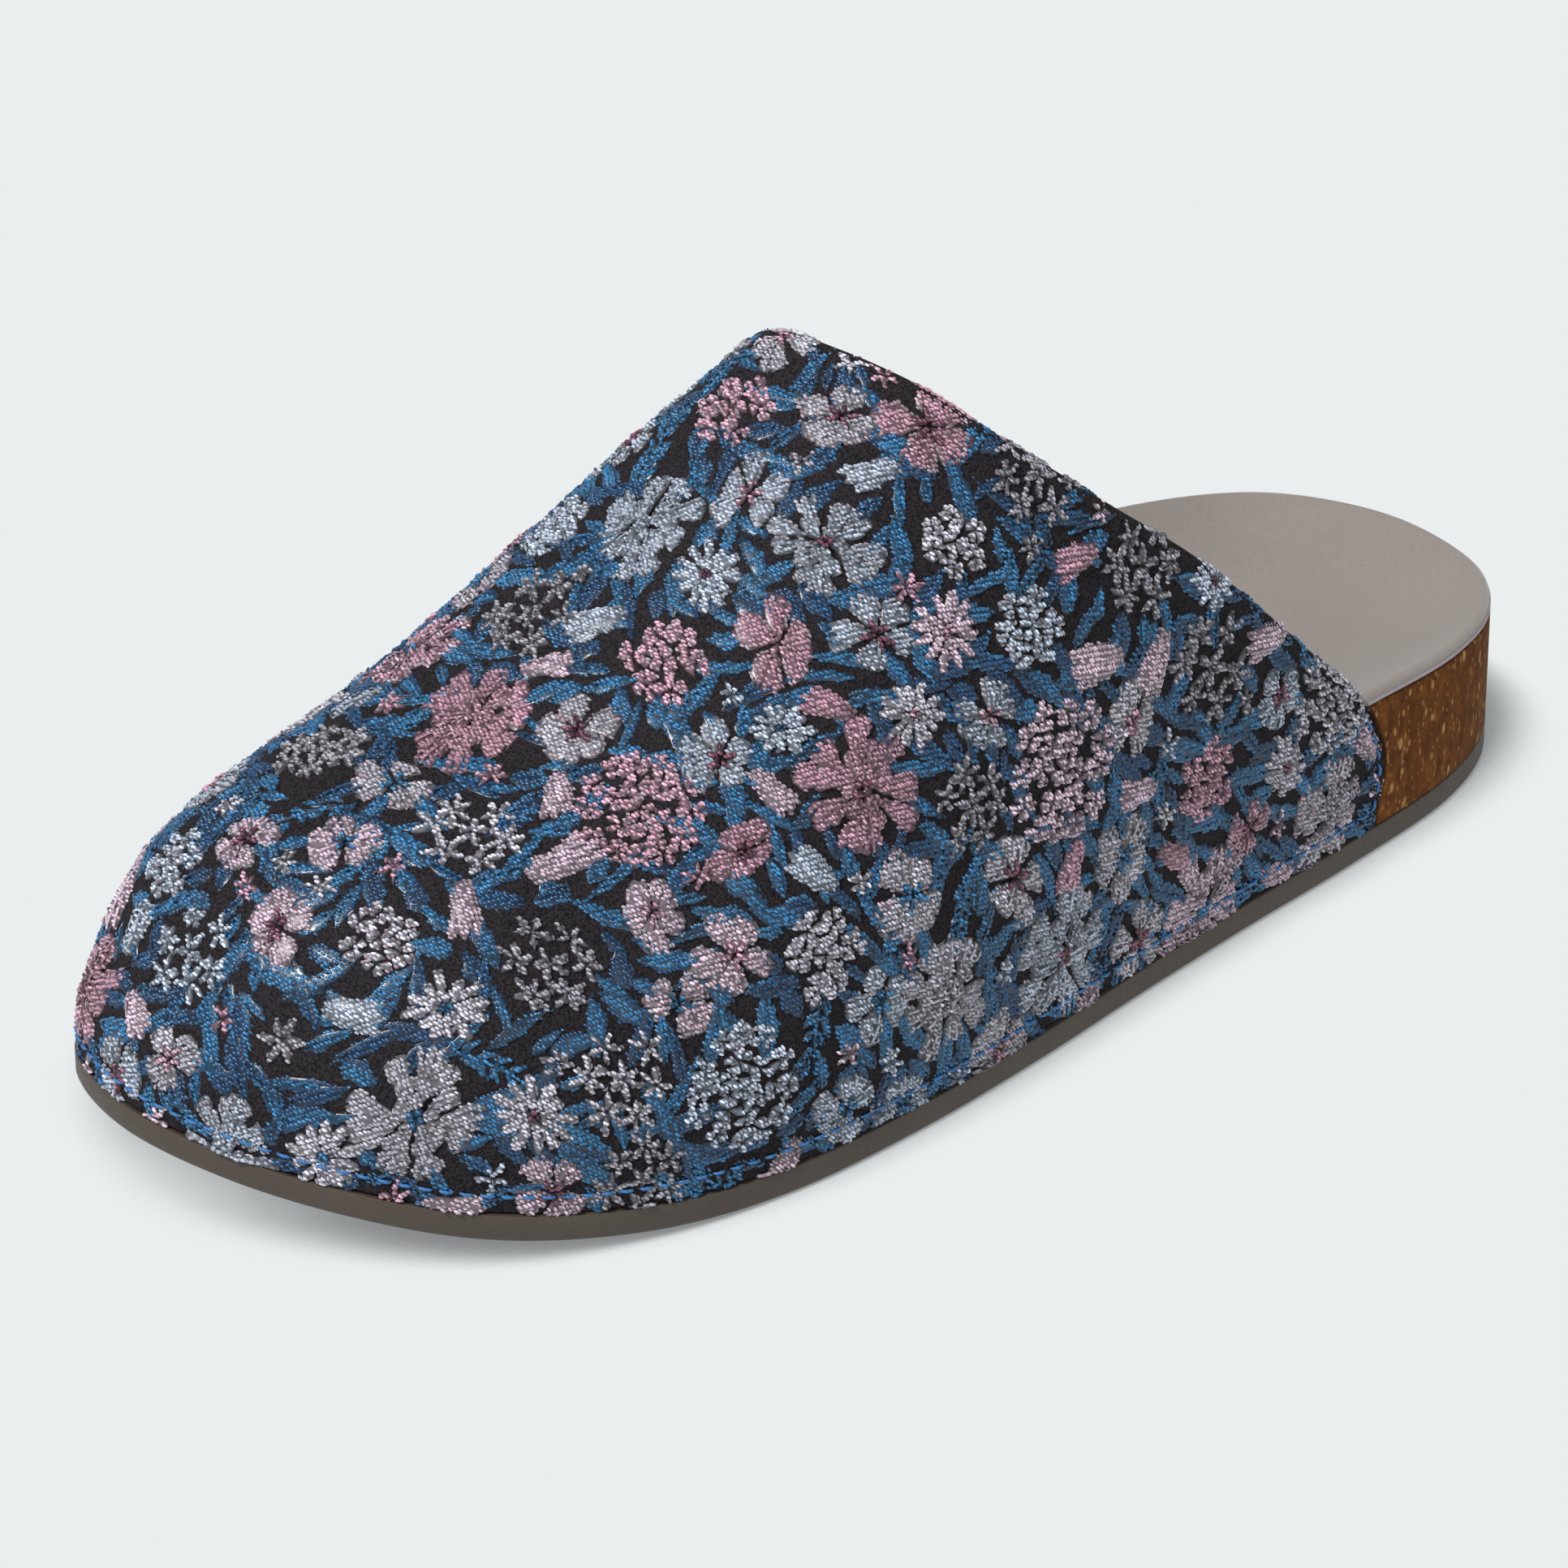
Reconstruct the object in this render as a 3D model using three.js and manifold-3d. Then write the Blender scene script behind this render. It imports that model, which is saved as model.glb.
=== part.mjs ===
// Closed-toe, open-back mule for the left foot: rubber outsole, cork footbed, insole and a one-piece upper.
// The toe points to -Y, the heel to +Y and the outer side of the foot to +X; the floor is z = 0.
// Lengths are millimetres. Tables give places as shares of LENGTH, from 0 at the toe to 1 at the heel.

import * as THREE from "three";
import { mergeVertices } from "three/addons/utils/BufferGeometryUtils.js";
import Module from "manifold-3d";

const wasm = await Module();
wasm.setup();
const { clamp, lerp, smoothstep } = THREE.MathUtils;

// Driving sizes
const LENGTH = 256; // outsole, toe tip to heel end
const BALL_WIDTH = 103; // outsole across the ball of the foot
const HEEL_WIDTH = 73.6; // outsole across the heel
const OUTSOLE_THICKNESS = 4.5;
const OUTSOLE_BEVEL = 0.8; // round the lower edge
const TOE_SPRING = 12.3; // lift of the toe tip off the floor
const CORK_HEIGHT = 19.2; // cork side at the heel end
const INSOLE_THICKNESS = 2;
const TOE_BOX_HEIGHT = 60; // top of the toe box over the floor
const INSTEP_HEIGHT = 100.7; // top of the collar over the floor
const WALL = 2.2; // upper, with its padding and lining
const CLEARANCE = 0.3; // between pieces that meet

// Places along the shoe, as shares of LENGTH
const BALL_LINE = 0.29; // the toe's rays start here
const SPRING_LINE = 0.313; // the sole is flat behind this
const COLLAR_TOP = 0.5;
const HEEL_LINE = 0.86; // the heel's rays start here

// Outline of the sole: half widths as shares of the width there, which runs from ball to heel width
const TOE_TIP = -0.055;
const HEEL_TIP = -0.021;
const OUTLINE = [
  { at: 0.015, outer: 0.106, inner: 0.222 },
  { at: 0.05, outer: 0.255, inner: 0.324 },
  { at: 0.11, outer: 0.403, inner: 0.402 },
  { at: 0.2, outer: 0.497, inner: 0.464 },
  { at: 0.3, outer: 0.531, inner: 0.47 },
  { at: 0.4, outer: 0.537, inner: 0.449 },
  { at: 0.5, outer: 0.542, inner: 0.419 },
  { at: 0.6, outer: 0.543, inner: 0.416 },
  { at: 0.7, outer: 0.54, inner: 0.447 },
  { at: 0.8, outer: 0.512, inner: 0.488 },
  { at: 0.9, outer: 0.44, inner: 0.444 },
  { at: 0.955, outer: 0.341, inner: 0.348 },
  { at: 0.99, outer: 0.189, inner: 0.179 },
];

// Top of the cork over the outsole, as shares of CORK_HEIGHT: the seat in the middle and both rims
const FOOTBED = [
  { at: 0, seat: 0.46, outer: 0.48, inner: 0.48 },
  { at: 0.15, seat: 0.46, outer: 0.5, inner: 0.5 },
  { at: 0.3, seat: 0.5, outer: 0.58, inner: 0.62 },
  { at: 0.42, seat: 0.64, outer: 0.7, inner: 0.86 },
  { at: 0.55, seat: 0.8, outer: 0.92, inner: 1.24 },
  { at: 0.66, seat: 0.82, outer: 1.08, inner: 1.36 },
  { at: 0.78, seat: 0.76, outer: 1.17, inner: 1.24 },
  { at: 0.9, seat: 0.7, outer: 1.09, inner: 1.1 },
  { at: 1, seat: 0.72, outer: 1, inner: 1 },
];

// Ridge of the upper: 0 is TOE_BOX_HEIGHT and 1 is INSTEP_HEIGHT; behind COLLAR_TOP it only guides the sides
const RIDGE = [
  { at: 0, rise: -0.32 },
  { at: 0.07, rise: -0.02 },
  { at: 0.15, rise: 0 },
  { at: 0.24, rise: 0.054 },
  { at: 0.34, rise: 0.386 },
  { at: 0.42, rise: 0.72 },
  { at: 0.5, rise: 1 },
  { at: 0.6, rise: 1.2 },
  { at: 0.72, rise: 1.25 },
];
const RIDGE_SIDE = { ball: -0.051, collar: -0.07 }; // sideways place of the ridge, as shares of BALL_WIDTH
const ARCH_FULLNESS = { ball: 2.46, collar: 2 }; // 2 is an ellipse, more is squarer at the sole
const ARCH_ROUNDNESS = 2.1;

// Collar: how far back the upper reaches on each side, by how far up its arch from hem (0) to ridge (1)
const COLLAR = [
  { up: 0, outer: 0.82, inner: 0.82 },
  { up: 0.05, outer: 0.83, inner: 0.83 },
  { up: 0.1, outer: 0.821, inner: 0.821 },
  { up: 0.14, outer: 0.803, inner: 0.803 },
  { up: 0.22, outer: 0.755, inner: 0.751 },
  { up: 0.35, outer: 0.684, inner: 0.673 },
  { up: 0.48, outer: 0.613, inner: 0.597 },
  { up: 0.62, outer: 0.561, inner: 0.542 },
  { up: 0.78, outer: 0.527, inner: 0.508 },
  { up: 0.9, outer: 0.509, inner: 0.499 },
  { up: 1, outer: 0.501, inner: 0.501 },
];

// Fineness of the faces
const SIDE_STEPS = 16;
const TOE_STEPS = 26;
const HEEL_STEPS = 16;
const FLAT_RINGS = [1, 0.66, 0.33, 0];
const FOOTBED_RINGS = [1, 0.94, 0.84, 0.7, 0.5, 0.26, 0];
const UPPER_STEPS = 14;
const UPPER_ROWS = [0, 0.025, 0.05, 0.075, 0.1, 0.14, 0.2, 0.28, 0.36, 0.44, 0.52, 0.6, 0.68, 0.76, 0.84, 0.92, 1];
const RIM_CURVE = 3; // how late the footbed rises to its rim
const CUT_MARGIN = 6; // how far a cutting body passes the piece that it cuts
const WELD = 0.001;

const lengthwise = (share) => (share - 0.5) * LENGTH;
const shareAt = (y) => y / LENGTH + 0.5;

// Smooth curve through one column of a table
function along(rows, key, column, place) {
  const last = rows.length - 1;
  const x = clamp(place, rows[0][key], rows[last][key]);
  const next = clamp(rows.findIndex((row) => row[key] >= x), 1, last);
  const slope = (i) => {
    const [a, b] = [rows[Math.max(i - 1, 0)], rows[Math.min(i + 1, last)]];
    return (b[column] - a[column]) / (b[key] - a[key]);
  };
  const [from, to] = [rows[next - 1], rows[next]];
  const step = to[key] - from[key];
  const t = (x - from[key]) / step;
  const [startSlope, endSlope] = [slope(next - 1) * step, slope(next) * step];
  const rise = to[column] - from[column];
  return from[column] + t * (startSlope + t * (3 * rise - 2 * startSlope - endSlope
    + t * (startSlope + endSlope - 2 * rise)));
}

// Sole outline, as a closed curve from the toe tip along the outer side to the heel and back
const widthAt = (share) => lerp(BALL_WIDTH, HEEL_WIDTH, smoothstep(share, 0.3, 0.8));
const outlineCurve = new THREE.CatmullRomCurve3([
  new THREE.Vector3(TOE_TIP * BALL_WIDTH, lengthwise(0), 0),
  ...OUTLINE.map((row) => new THREE.Vector3(row.outer * widthAt(row.at), lengthwise(row.at), 0)),
  new THREE.Vector3(HEEL_TIP * HEEL_WIDTH, lengthwise(1), 0),
  ...OUTLINE.toReversed().map((row) => new THREE.Vector3(-row.inner * widthAt(row.at), lengthwise(row.at), 0)),
], true, "centripetal");

// Where the outline's outer (side 1) or inner (side -1) half passes y, as the curve's own parameter
function outlinePlace(side, y) {
  let [near, far] = side > 0 ? [0, 0.5] : [1, 0.5];
  for (let i = 0; i < 40; i += 1) {
    const middle = (near + far) / 2;
    if (outlineCurve.getPoint(middle).y < y) near = middle;
    else far = middle;
  }
  return (near + far) / 2;
}
const edgeAt = (side, y) => outlineCurve.getPoint(outlinePlace(side, y));

const middleAt = (y) => (edgeAt(1, y).x + edgeAt(-1, y).x) / 2;
const spring = (y) => TOE_SPRING * clamp(1 - shareAt(y) / SPRING_LINE, 0, 1) ** 2;
const outsoleTop = (y) => spring(y) + OUTSOLE_THICKNESS;
const hemHeight = (y) => outsoleTop(y) + CLEARANCE;

// Points of the outline with the spine point that each faces: straight across, or a ray at toe and heel
function outlineStations() {
  const [ball, heel] = [lengthwise(BALL_LINE), lengthwise(HEEL_LINE)];
  const stations = [];
  const add = (foot, spineY) => stations.push({ foot, spine: new THREE.Vector3(middleAt(spineY), spineY, 0) });
  const sideY = (i) => lerp(ball, heel, i / SIDE_STEPS);
  const arc = (from, to, steps, spineY) => {
    for (let i = 1; i < steps; i += 1) add(outlineCurve.getPoint((lerp(from, to, i / steps) + 1) % 1), spineY);
  };
  for (let i = 0; i <= SIDE_STEPS; i += 1) add(edgeAt(1, sideY(i)), sideY(i));
  arc(outlinePlace(1, heel), outlinePlace(-1, heel), HEEL_STEPS, heel);
  for (let i = SIDE_STEPS; i >= 0; i -= 1) add(edgeAt(-1, sideY(i)), sideY(i));
  arc(outlinePlace(-1, ball) - 1, outlinePlace(1, ball), TOE_STEPS, ball);
  return stations;
}

// Triangles between neighbouring rows of points; closed rows join their last point to their first
function gridTriangles(rows, closed) {
  const triangles = [];
  const columns = rows[0].length;
  for (let r = 0; r + 1 < rows.length; r += 1) {
    for (let c = 0; c < (closed ? columns : columns - 1); c += 1) {
      const d = (c + 1) % columns;
      triangles.push([rows[r][c], rows[r][d], rows[r + 1][d]], [rows[r][c], rows[r + 1][d], rows[r + 1][c]]);
    }
  }
  return triangles;
}

// Welded geometry without the triangles that shrink to a line
function weld(triangles) {
  const loose = new THREE.BufferGeometry().setFromPoints(triangles.flat());
  const welded = mergeVertices(loose, WELD);
  const corners = welded.index.array;
  const kept = [];
  for (let i = 0; i < corners.length; i += 3) {
    const [a, b, c] = corners.slice(i, i + 3);
    if (a !== b && b !== c && c !== a) kept.push(a, b, c);
  }
  welded.setIndex(kept);
  return welded;
}

const toManifold = (geometry) => new wasm.Manifold(new wasm.Mesh({
  numProp: 3,
  vertProperties: new Float32Array(geometry.attributes.position.array),
  triVerts: new Uint32Array(geometry.index.array),
}));

function toGeometry(manifold) {
  const mesh = manifold.getMesh();
  const geometry = new THREE.BufferGeometry();
  geometry.setAttribute("position", new THREE.BufferAttribute(mesh.vertProperties, 3));
  geometry.setIndex(new THREE.BufferAttribute(mesh.triVerts, 1));
  geometry.computeVertexNormals();
  return geometry;
}

const flipped = (triangles) => triangles.map(([a, b, c]) => [a, c, b]);

// Slab of the sole between two height functions, each with its own rings; bevel draws in the lower edge
function soleSlab([lower, lowerRings], [upper, upperRings], bevel = 0) {
  const stations = outlineStations();
  const row = (ring, height, inset = 0, lift = 0) => stations.map((station) => {
    const { foot, spine } = station;
    const rim = foot.clone().sub(foot.clone().sub(spine).setLength(inset));
    const point = spine.clone().lerp(rim, ring);
    return point.setZ(height(point.y, ring, station) + lift);
  });
  const under = lowerRings.map((ring) => row(ring, lower, bevel));
  const over = upperRings.map((ring) => row(ring, upper));
  const wall = [under[0], row(1, lower, 0, bevel), over[0]];
  return weld([
    ...gridTriangles(over, true),
    ...flipped(gridTriangles(under, true)),
    ...gridTriangles(wall, true),
  ]);
}

// Cork surface: a flat seat that rises late to its rim, higher along the inner arch
function footbedHeight(y, ring, { foot, spine }) {
  const outward = clamp(0.5 + (foot.x - spine.x) / widthAt(shareAt(foot.y)), 0, 1);
  const rimColumn = (column) => along(FOOTBED, "at", column, shareAt(foot.y));
  const rim = lerp(rimColumn("inner"), rimColumn("outer"), outward);
  const seat = along(FOOTBED, "at", "seat", shareAt(y));
  return hemHeight(y) + CORK_HEIGHT * lerp(seat, rim, ring ** RIM_CURVE);
}

// Outer face of the upper, on the arch that rises from the hem point foot to the ridge point spine
function archPoint(foot, spine, up) {
  const turn = (up * Math.PI) / 2;
  const back = clamp((shareAt(spine.y) - BALL_LINE) / (COLLAR_TOP - BALL_LINE), 0, 1);
  const fullness = lerp(ARCH_FULLNESS.ball, ARCH_FULLNESS.collar, back);
  const point = spine.clone().lerp(foot, Math.cos(turn) ** (2 / fullness));
  const ridge = lerp(TOE_BOX_HEIGHT, INSTEP_HEIGHT, along(RIDGE, "at", "rise", shareAt(point.y)));
  return point.setZ(lerp(hemHeight(foot.y), ridge, Math.sin(turn) ** (2 / ARCH_ROUNDNESS)));
}

function ridgeSpine(y) {
  const back = (shareAt(y) - BALL_LINE) / (COLLAR_TOP - BALL_LINE);
  return new THREE.Vector3(BALL_WIDTH * lerp(RIDGE_SIDE.ball, RIDGE_SIDE.collar, clamp(back, 0, 1.3)), y, 0);
}

// How far back the collar lies at a place on one side's arch; the curve runs on smoothly over the ridge
function collarBack(side, up) {
  const [near, far] = side > 0 ? ["outer", "inner"] : ["inner", "outer"];
  const overRidge = COLLAR.toReversed().slice(1).map((row) => ({ up: 2 - row.up, back: row[far] }));
  const rows = [...COLLAR.map((row) => ({ up: row.up, back: row[near] })), ...overRidge];
  return lengthwise(along(rows, "up", "back", up));
}

// Rows of points from the hem to the ridge, each running from the inner collar round the toe to the outer one
function upperRows(collarGrowth) {
  const ball = lengthwise(BALL_LINE);
  const [toeStart, toeEnd] = [outlinePlace(-1, ball) - 1, outlinePlace(1, ball)];
  return UPPER_ROWS.map((up) => {
    const sidePoint = (side, share) => {
      const y = lerp(ball, collarBack(side, up) + collarGrowth, share);
      return archPoint(edgeAt(side, y), ridgeSpine(y), up);
    };
    const row = [];
    for (let i = UPPER_STEPS; i > 0; i -= 1) row.push(sidePoint(-1, i / UPPER_STEPS));
    for (let i = 0; i <= TOE_STEPS; i += 1) {
      const foot = outlineCurve.getPoint((lerp(toeStart, toeEnd, i / TOE_STEPS) + 1) % 1);
      row.push(archPoint(foot, ridgeSpine(ball), up));
    }
    for (let i = 1; i <= UPPER_STEPS; i += 1) row.push(sidePoint(1, i / UPPER_STEPS));
    return row;
  });
}

// Closed shell round the upper's outer face, from outside to inside of it; drop lengthens it below the hem
function upperShell(outside, inside, collarGrowth = 0, drop = 0) {
  const face = weld(gridTriangles(upperRows(collarGrowth), false));
  face.computeVertexNormals();
  const [position, normal] = [face.attributes.position, face.attributes.normal];
  const shifted = (distance) => Array.from({ length: position.count }, (_, i) => {
    const point = new THREE.Vector3().fromBufferAttribute(position, i);
    const outward = new THREE.Vector3().fromBufferAttribute(normal, i);
    const onHem = point.z < hemHeight(point.y) + WELD;
    if (onHem) outward.setZ(0).normalize();
    point.addScaledVector(outward, distance);
    return onHem ? point.setZ(point.z - drop) : point;
  });
  const [outer, inner] = [shifted(outside), shifted(-inside)];
  const corners = face.index.array;
  const triangles = [];
  const edges = new Map();
  for (let i = 0; i < corners.length; i += 3) {
    const [a, b, c] = corners.slice(i, i + 3);
    triangles.push([outer[a], outer[b], outer[c]], [inner[c], inner[b], inner[a]]);
    for (const [from, to] of [[a, b], [b, c], [c, a]]) {
      if (!edges.delete(`${to} ${from}`)) edges.set(`${from} ${to}`, [from, to]);
    }
  }
  for (const [from, to] of edges.values()) {
    triangles.push([outer[to], outer[from], inner[from]], [outer[to], inner[from], inner[to]]);
  }
  return weld(triangles);
}

// The pieces
const outsoleBottom = (y) => spring(y);
const insoleBottom = (y, ring, station) => footbedHeight(y, ring, station) + CLEARANCE;
const insoleTop = (y, ring, station) => insoleBottom(y, ring, station) + INSOLE_THICKNESS;

// What cork and insole leave free under the upper
const upperRoom = toManifold(upperShell(CUT_MARGIN, WALL + CLEARANCE, CLEARANCE / 0.75, CUT_MARGIN));
const besideUpper = (slab) => toGeometry(toManifold(slab).subtract(upperRoom));

const pieces = {
  outsole: {
    geometry: soleSlab([outsoleBottom, FLAT_RINGS], [outsoleTop, FLAT_RINGS], OUTSOLE_BEVEL),
    colour: "#50483f",
    roughness: 0.55,
  },
  cork_footbed: {
    geometry: besideUpper(soleSlab([hemHeight, FLAT_RINGS], [footbedHeight, FOOTBED_RINGS])),
    colour: "#6b4527",
    roughness: 0.8,
  },
  insole: {
    geometry: besideUpper(soleSlab([insoleBottom, FOOTBED_RINGS], [insoleTop, FOOTBED_RINGS])),
    colour: "#9b928b",
    roughness: 0.75,
  },
  upper: {
    geometry: upperShell(0, WALL),
    colour: "#4a6180",
    roughness: 0.85,
  },
};

const mule = new THREE.Group();
for (const [name, { geometry, colour, roughness }] of Object.entries(pieces)) {
  const piece = new THREE.Mesh(geometry, new THREE.MeshStandardMaterial({ color: colour, roughness, metalness: 0 }));
  piece.name = name;
  mule.add(piece);
}

// The origin is the middle of the shoe's footprint
const footprint = new THREE.Box3().setFromPoints(outlineStations().map(({ foot }) => foot));
const centre = footprint.getCenter(new THREE.Vector3());
mule.position.set(-centre.x, -centre.y, 0);

export default mule;
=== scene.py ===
"""Closed-toe, open-back mule for the left foot, with a cork footbed and an embroidered brocade upper.

The toe points to -Y, the heel to +Y and the outer side of the foot to +X. All lengths are metres, and MM
turns millimetres into them. Tables give places as shares of the sole's length, from 0 at the toe to 1 at the
heel.
"""

import math

import bmesh
import bpy
import numpy as np
from bpy.props import FloatProperty, FloatVectorProperty, IntProperty, PointerProperty
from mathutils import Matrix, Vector
from mathutils.bvhtree import BVHTree
from mathutils.kdtree import KDTree


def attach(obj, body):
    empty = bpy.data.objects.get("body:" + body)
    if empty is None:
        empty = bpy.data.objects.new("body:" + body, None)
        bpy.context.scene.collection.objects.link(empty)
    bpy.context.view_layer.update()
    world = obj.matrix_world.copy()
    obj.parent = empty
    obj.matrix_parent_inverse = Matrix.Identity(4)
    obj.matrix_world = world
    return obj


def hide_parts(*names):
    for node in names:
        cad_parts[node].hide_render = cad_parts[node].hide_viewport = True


bl_info = {
    "name": "Brocade mule",
    "version": (1, 0, 0),
    "blender": (4, 5, 0),
    "location": "3D View > Sidebar > Mule",
    "description": "Builds a closed-toe mule with a cork footbed round its CAD frame",
    "category": "Object",
}

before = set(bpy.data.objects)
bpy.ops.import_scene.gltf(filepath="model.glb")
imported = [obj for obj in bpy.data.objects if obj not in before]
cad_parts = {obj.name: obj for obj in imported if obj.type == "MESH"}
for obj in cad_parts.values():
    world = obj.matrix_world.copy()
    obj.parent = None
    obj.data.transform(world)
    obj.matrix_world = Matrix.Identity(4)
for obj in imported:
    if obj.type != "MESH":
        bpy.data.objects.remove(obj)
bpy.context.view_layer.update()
MM = 0.001

# Places along the shoe, as shares of its length
BALL_LINE = 0.29
SPRING_LINE = 0.313
COLLAR_TOP = 0.5
HEEL_LINE = 0.86

# Outline of the sole: place, then outer and inner half width as shares of the width there
TOE_TIP = -0.055
HEEL_TIP = -0.021
OUTLINE = np.array([
    (0.015, 0.106, 0.222), (0.05, 0.255, 0.324), (0.11, 0.403, 0.402), (0.2, 0.497, 0.464),
    (0.3, 0.531, 0.47), (0.4, 0.537, 0.449), (0.5, 0.542, 0.419), (0.6, 0.543, 0.416),
    (0.7, 0.54, 0.447), (0.8, 0.512, 0.488), (0.9, 0.44, 0.444), (0.955, 0.341, 0.348),
    (0.99, 0.189, 0.179),
])

# Top of the cork: place, then seat, outer rim and inner rim as shares of the cork's height at the heel
SEAT, OUTER, INNER = 1, 2, 3
FOOTBED = np.array([
    (0, 0.46, 0.48, 0.48), (0.15, 0.46, 0.5, 0.5), (0.3, 0.5, 0.58, 0.62), (0.42, 0.64, 0.7, 0.86),
    (0.55, 0.8, 0.92, 1.24), (0.66, 0.82, 1.08, 1.36), (0.78, 0.76, 1.17, 1.24), (0.9, 0.7, 1.09, 1.1),
    (1, 0.72, 1, 1),
])

# Ridge of the upper: place, then rise from the toe box (0) to the instep (1)
RIDGE = np.array([
    (0, -0.32), (0.07, -0.02), (0.15, 0), (0.24, 0.054), (0.34, 0.386), (0.42, 0.72), (0.5, 1), (0.6, 1.2),
    (0.72, 1.25),
])
RIDGE_SIDE = {"ball": -0.051, "collar": -0.07}
ARCH_FULLNESS = {"ball": 2.46, "collar": 2}
ARCH_ROUNDNESS = 2.1

# Collar: place up the arch, from hem (0) to ridge (1), then how far back it lies on the outer and inner side
COLLAR = np.array([
    (0, 0.82, 0.82), (0.05, 0.83, 0.83), (0.1, 0.821, 0.821), (0.14, 0.803, 0.803),
    (0.22, 0.755, 0.751), (0.35, 0.684, 0.673), (0.48, 0.613, 0.597), (0.62, 0.561, 0.542),
    (0.78, 0.527, 0.508), (0.9, 0.509, 0.499), (1, 0.501, 0.501),
])
RIM_CURVE = 3


def rgb(hex_colour):
    """Linear red, green and blue of an sRGB hex colour."""
    parts = [int(hex_colour[i:i + 2], 16) / 255 for i in (1, 3, 5)]
    return tuple(c / 12.92 if c <= 0.04045 else ((c + 0.055) / 1.055) ** 2.4 for c in parts)


def length(name, millimetres, description):
    """A length that shows in Blender's own units."""
    return FloatProperty(
        name=name, default=millimetres * MM, unit="LENGTH", precision=4, description=description
    )


def colour(name, hex_colour, description):
    """A colour swatch."""
    return FloatVectorProperty(
        name=name, default=rgb(hex_colour), subtype="COLOR", min=0, max=1, description=description
    )


class MuleSizes(bpy.types.PropertyGroup):
    """Driving sizes of the shoe, the same as the CAD part's."""

    sole_length: length("Length", 256, "Outsole from toe tip to heel end")
    ball_width: length("Ball width", 103, "Outsole across the ball of the foot")
    heel_width: length("Heel width", 73.6, "Outsole across the heel")
    outsole: length("Outsole thickness", 4.5, "Rubber under the cork")
    bevel: length("Outsole bevel", 0.8, "Drawn-in lower edge of the outsole")
    toe_spring: length("Toe spring", 12.3, "Lift of the toe tip off the floor")
    cork: length("Cork height", 19.2, "Cork side at the heel end")
    insole: length("Insole thickness", 2, "Suede insole on the cork")
    toe_box: length("Toe box height", 60, "Top of the toe box over the floor")
    instep: length("Instep height", 100.7, "Top of the collar over the floor")
    wall: length("Upper wall", 2.2, "Upper with its padding and lining")
    clearance: length("Clearance", 0.3, "Gap between pieces that meet")


class ThreadSizes(bpy.types.PropertyGroup):
    """Sizes of the embroidery and the seams."""

    relief: length("Relief", 0.8, "Height of the raised petals over the ground cloth")
    ground: length("Ground depth", 0.6, "How far the ground cloth lies inside the CAD face")
    knot: length("Knot length", 1.0, "One run of thread, drawn longer than its real 0.9 mm")
    thread: length("Thread width", 0.5, "Spacing of the threads, drawn wider than the real 0.43 mm")
    lump: length("Knot height", 0.34, "How far a knot of thread stands up from its petal")
    stitch: length("Stitch pitch", 3, "Hem seam, from stitch to stitch")
    seam: length("Seam distance", 2.8, "Hem seam over the hem")
    inset: length("Seam inset", 1.2, "Hem seam's ends from the collar edge")
    seed: IntProperty(name="Layout seed", default=11, min=0, description="Starts the layout of the flowers")


class MuleColours(bpy.types.PropertyGroup):
    """Colours of the materials."""

    ground: colour("Ground cloth", "#17161a", "Black weave between the flowers")
    blue: colour("Leaf thread", "#3383ba", "Leaves and stems")
    navy: colour("Deep leaf thread", "#1f5789", "Leaves in the shade and the rims of leaves")
    seam: colour("Seam thread", "#316ba3", "Hem seam")
    sky: colour("Sky thread", "#cad6ea", "Pale blue flowers")
    stone: colour("Stone thread", "#d4d1de", "Grey flowers")
    pebble: colour("Pebble thread", "#a8a5b0", "Small grey flowers")
    lilac: colour("Lilac thread", "#e8cddf", "Lilac flowers")
    rose: colour("Rose thread", "#dba8be", "Mauve flowers")
    plum: colour("Plum thread", "#8a4f6a", "Dark throats and centres")
    lining: colour("Lining", "#2a282b", "Inside of the upper")
    suede: colour("Insole suede", "#7f7771", "Top of the insole")
    foam: colour("Insole edge", "#a096a2", "Cut edge of the insole's foam")
    cork: colour("Cork", "#5c3516", "Body of the cork")
    fleck: colour("Cork flecks", "#a37f4f", "Pale grains in the cork")
    rubber: colour("Outsole rubber", "#40362d", "Outsole")
    floor: colour("Floor", "#eaeeef", "Studio floor")


def along(table, column, place):
    """Smooth curve through one column of a table, whose first column holds the places."""
    keys, values = table[:, 0], table[:, column]
    slopes = np.empty(len(keys))
    slopes[1:-1] = (values[2:] - values[:-2]) / (keys[2:] - keys[:-2])
    slopes[0] = (values[1] - values[0]) / (keys[1] - keys[0])
    slopes[-1] = (values[-1] - values[-2]) / (keys[-1] - keys[-2])
    x = np.clip(place, keys[0], keys[-1])
    i = np.clip(np.searchsorted(keys, x), 1, len(keys) - 1)
    step = keys[i] - keys[i - 1]
    t = (x - keys[i - 1]) / step
    start, end = slopes[i - 1] * step, slopes[i] * step
    rise = values[i] - values[i - 1]
    return values[i - 1] + t * (start + t * (3 * rise - 2 * start - end + t * (start + end - 2 * rise)))


def mix(a, b, share):
    """Straight mix from a to b."""
    return a + (b - a) * share


def smooth(x, low, high):
    """Soft step from 0 at low to 1 at high."""
    t = np.clip((x - low) / (high - low), 0, 1)
    return t * t * (3 - 2 * t)


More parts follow.
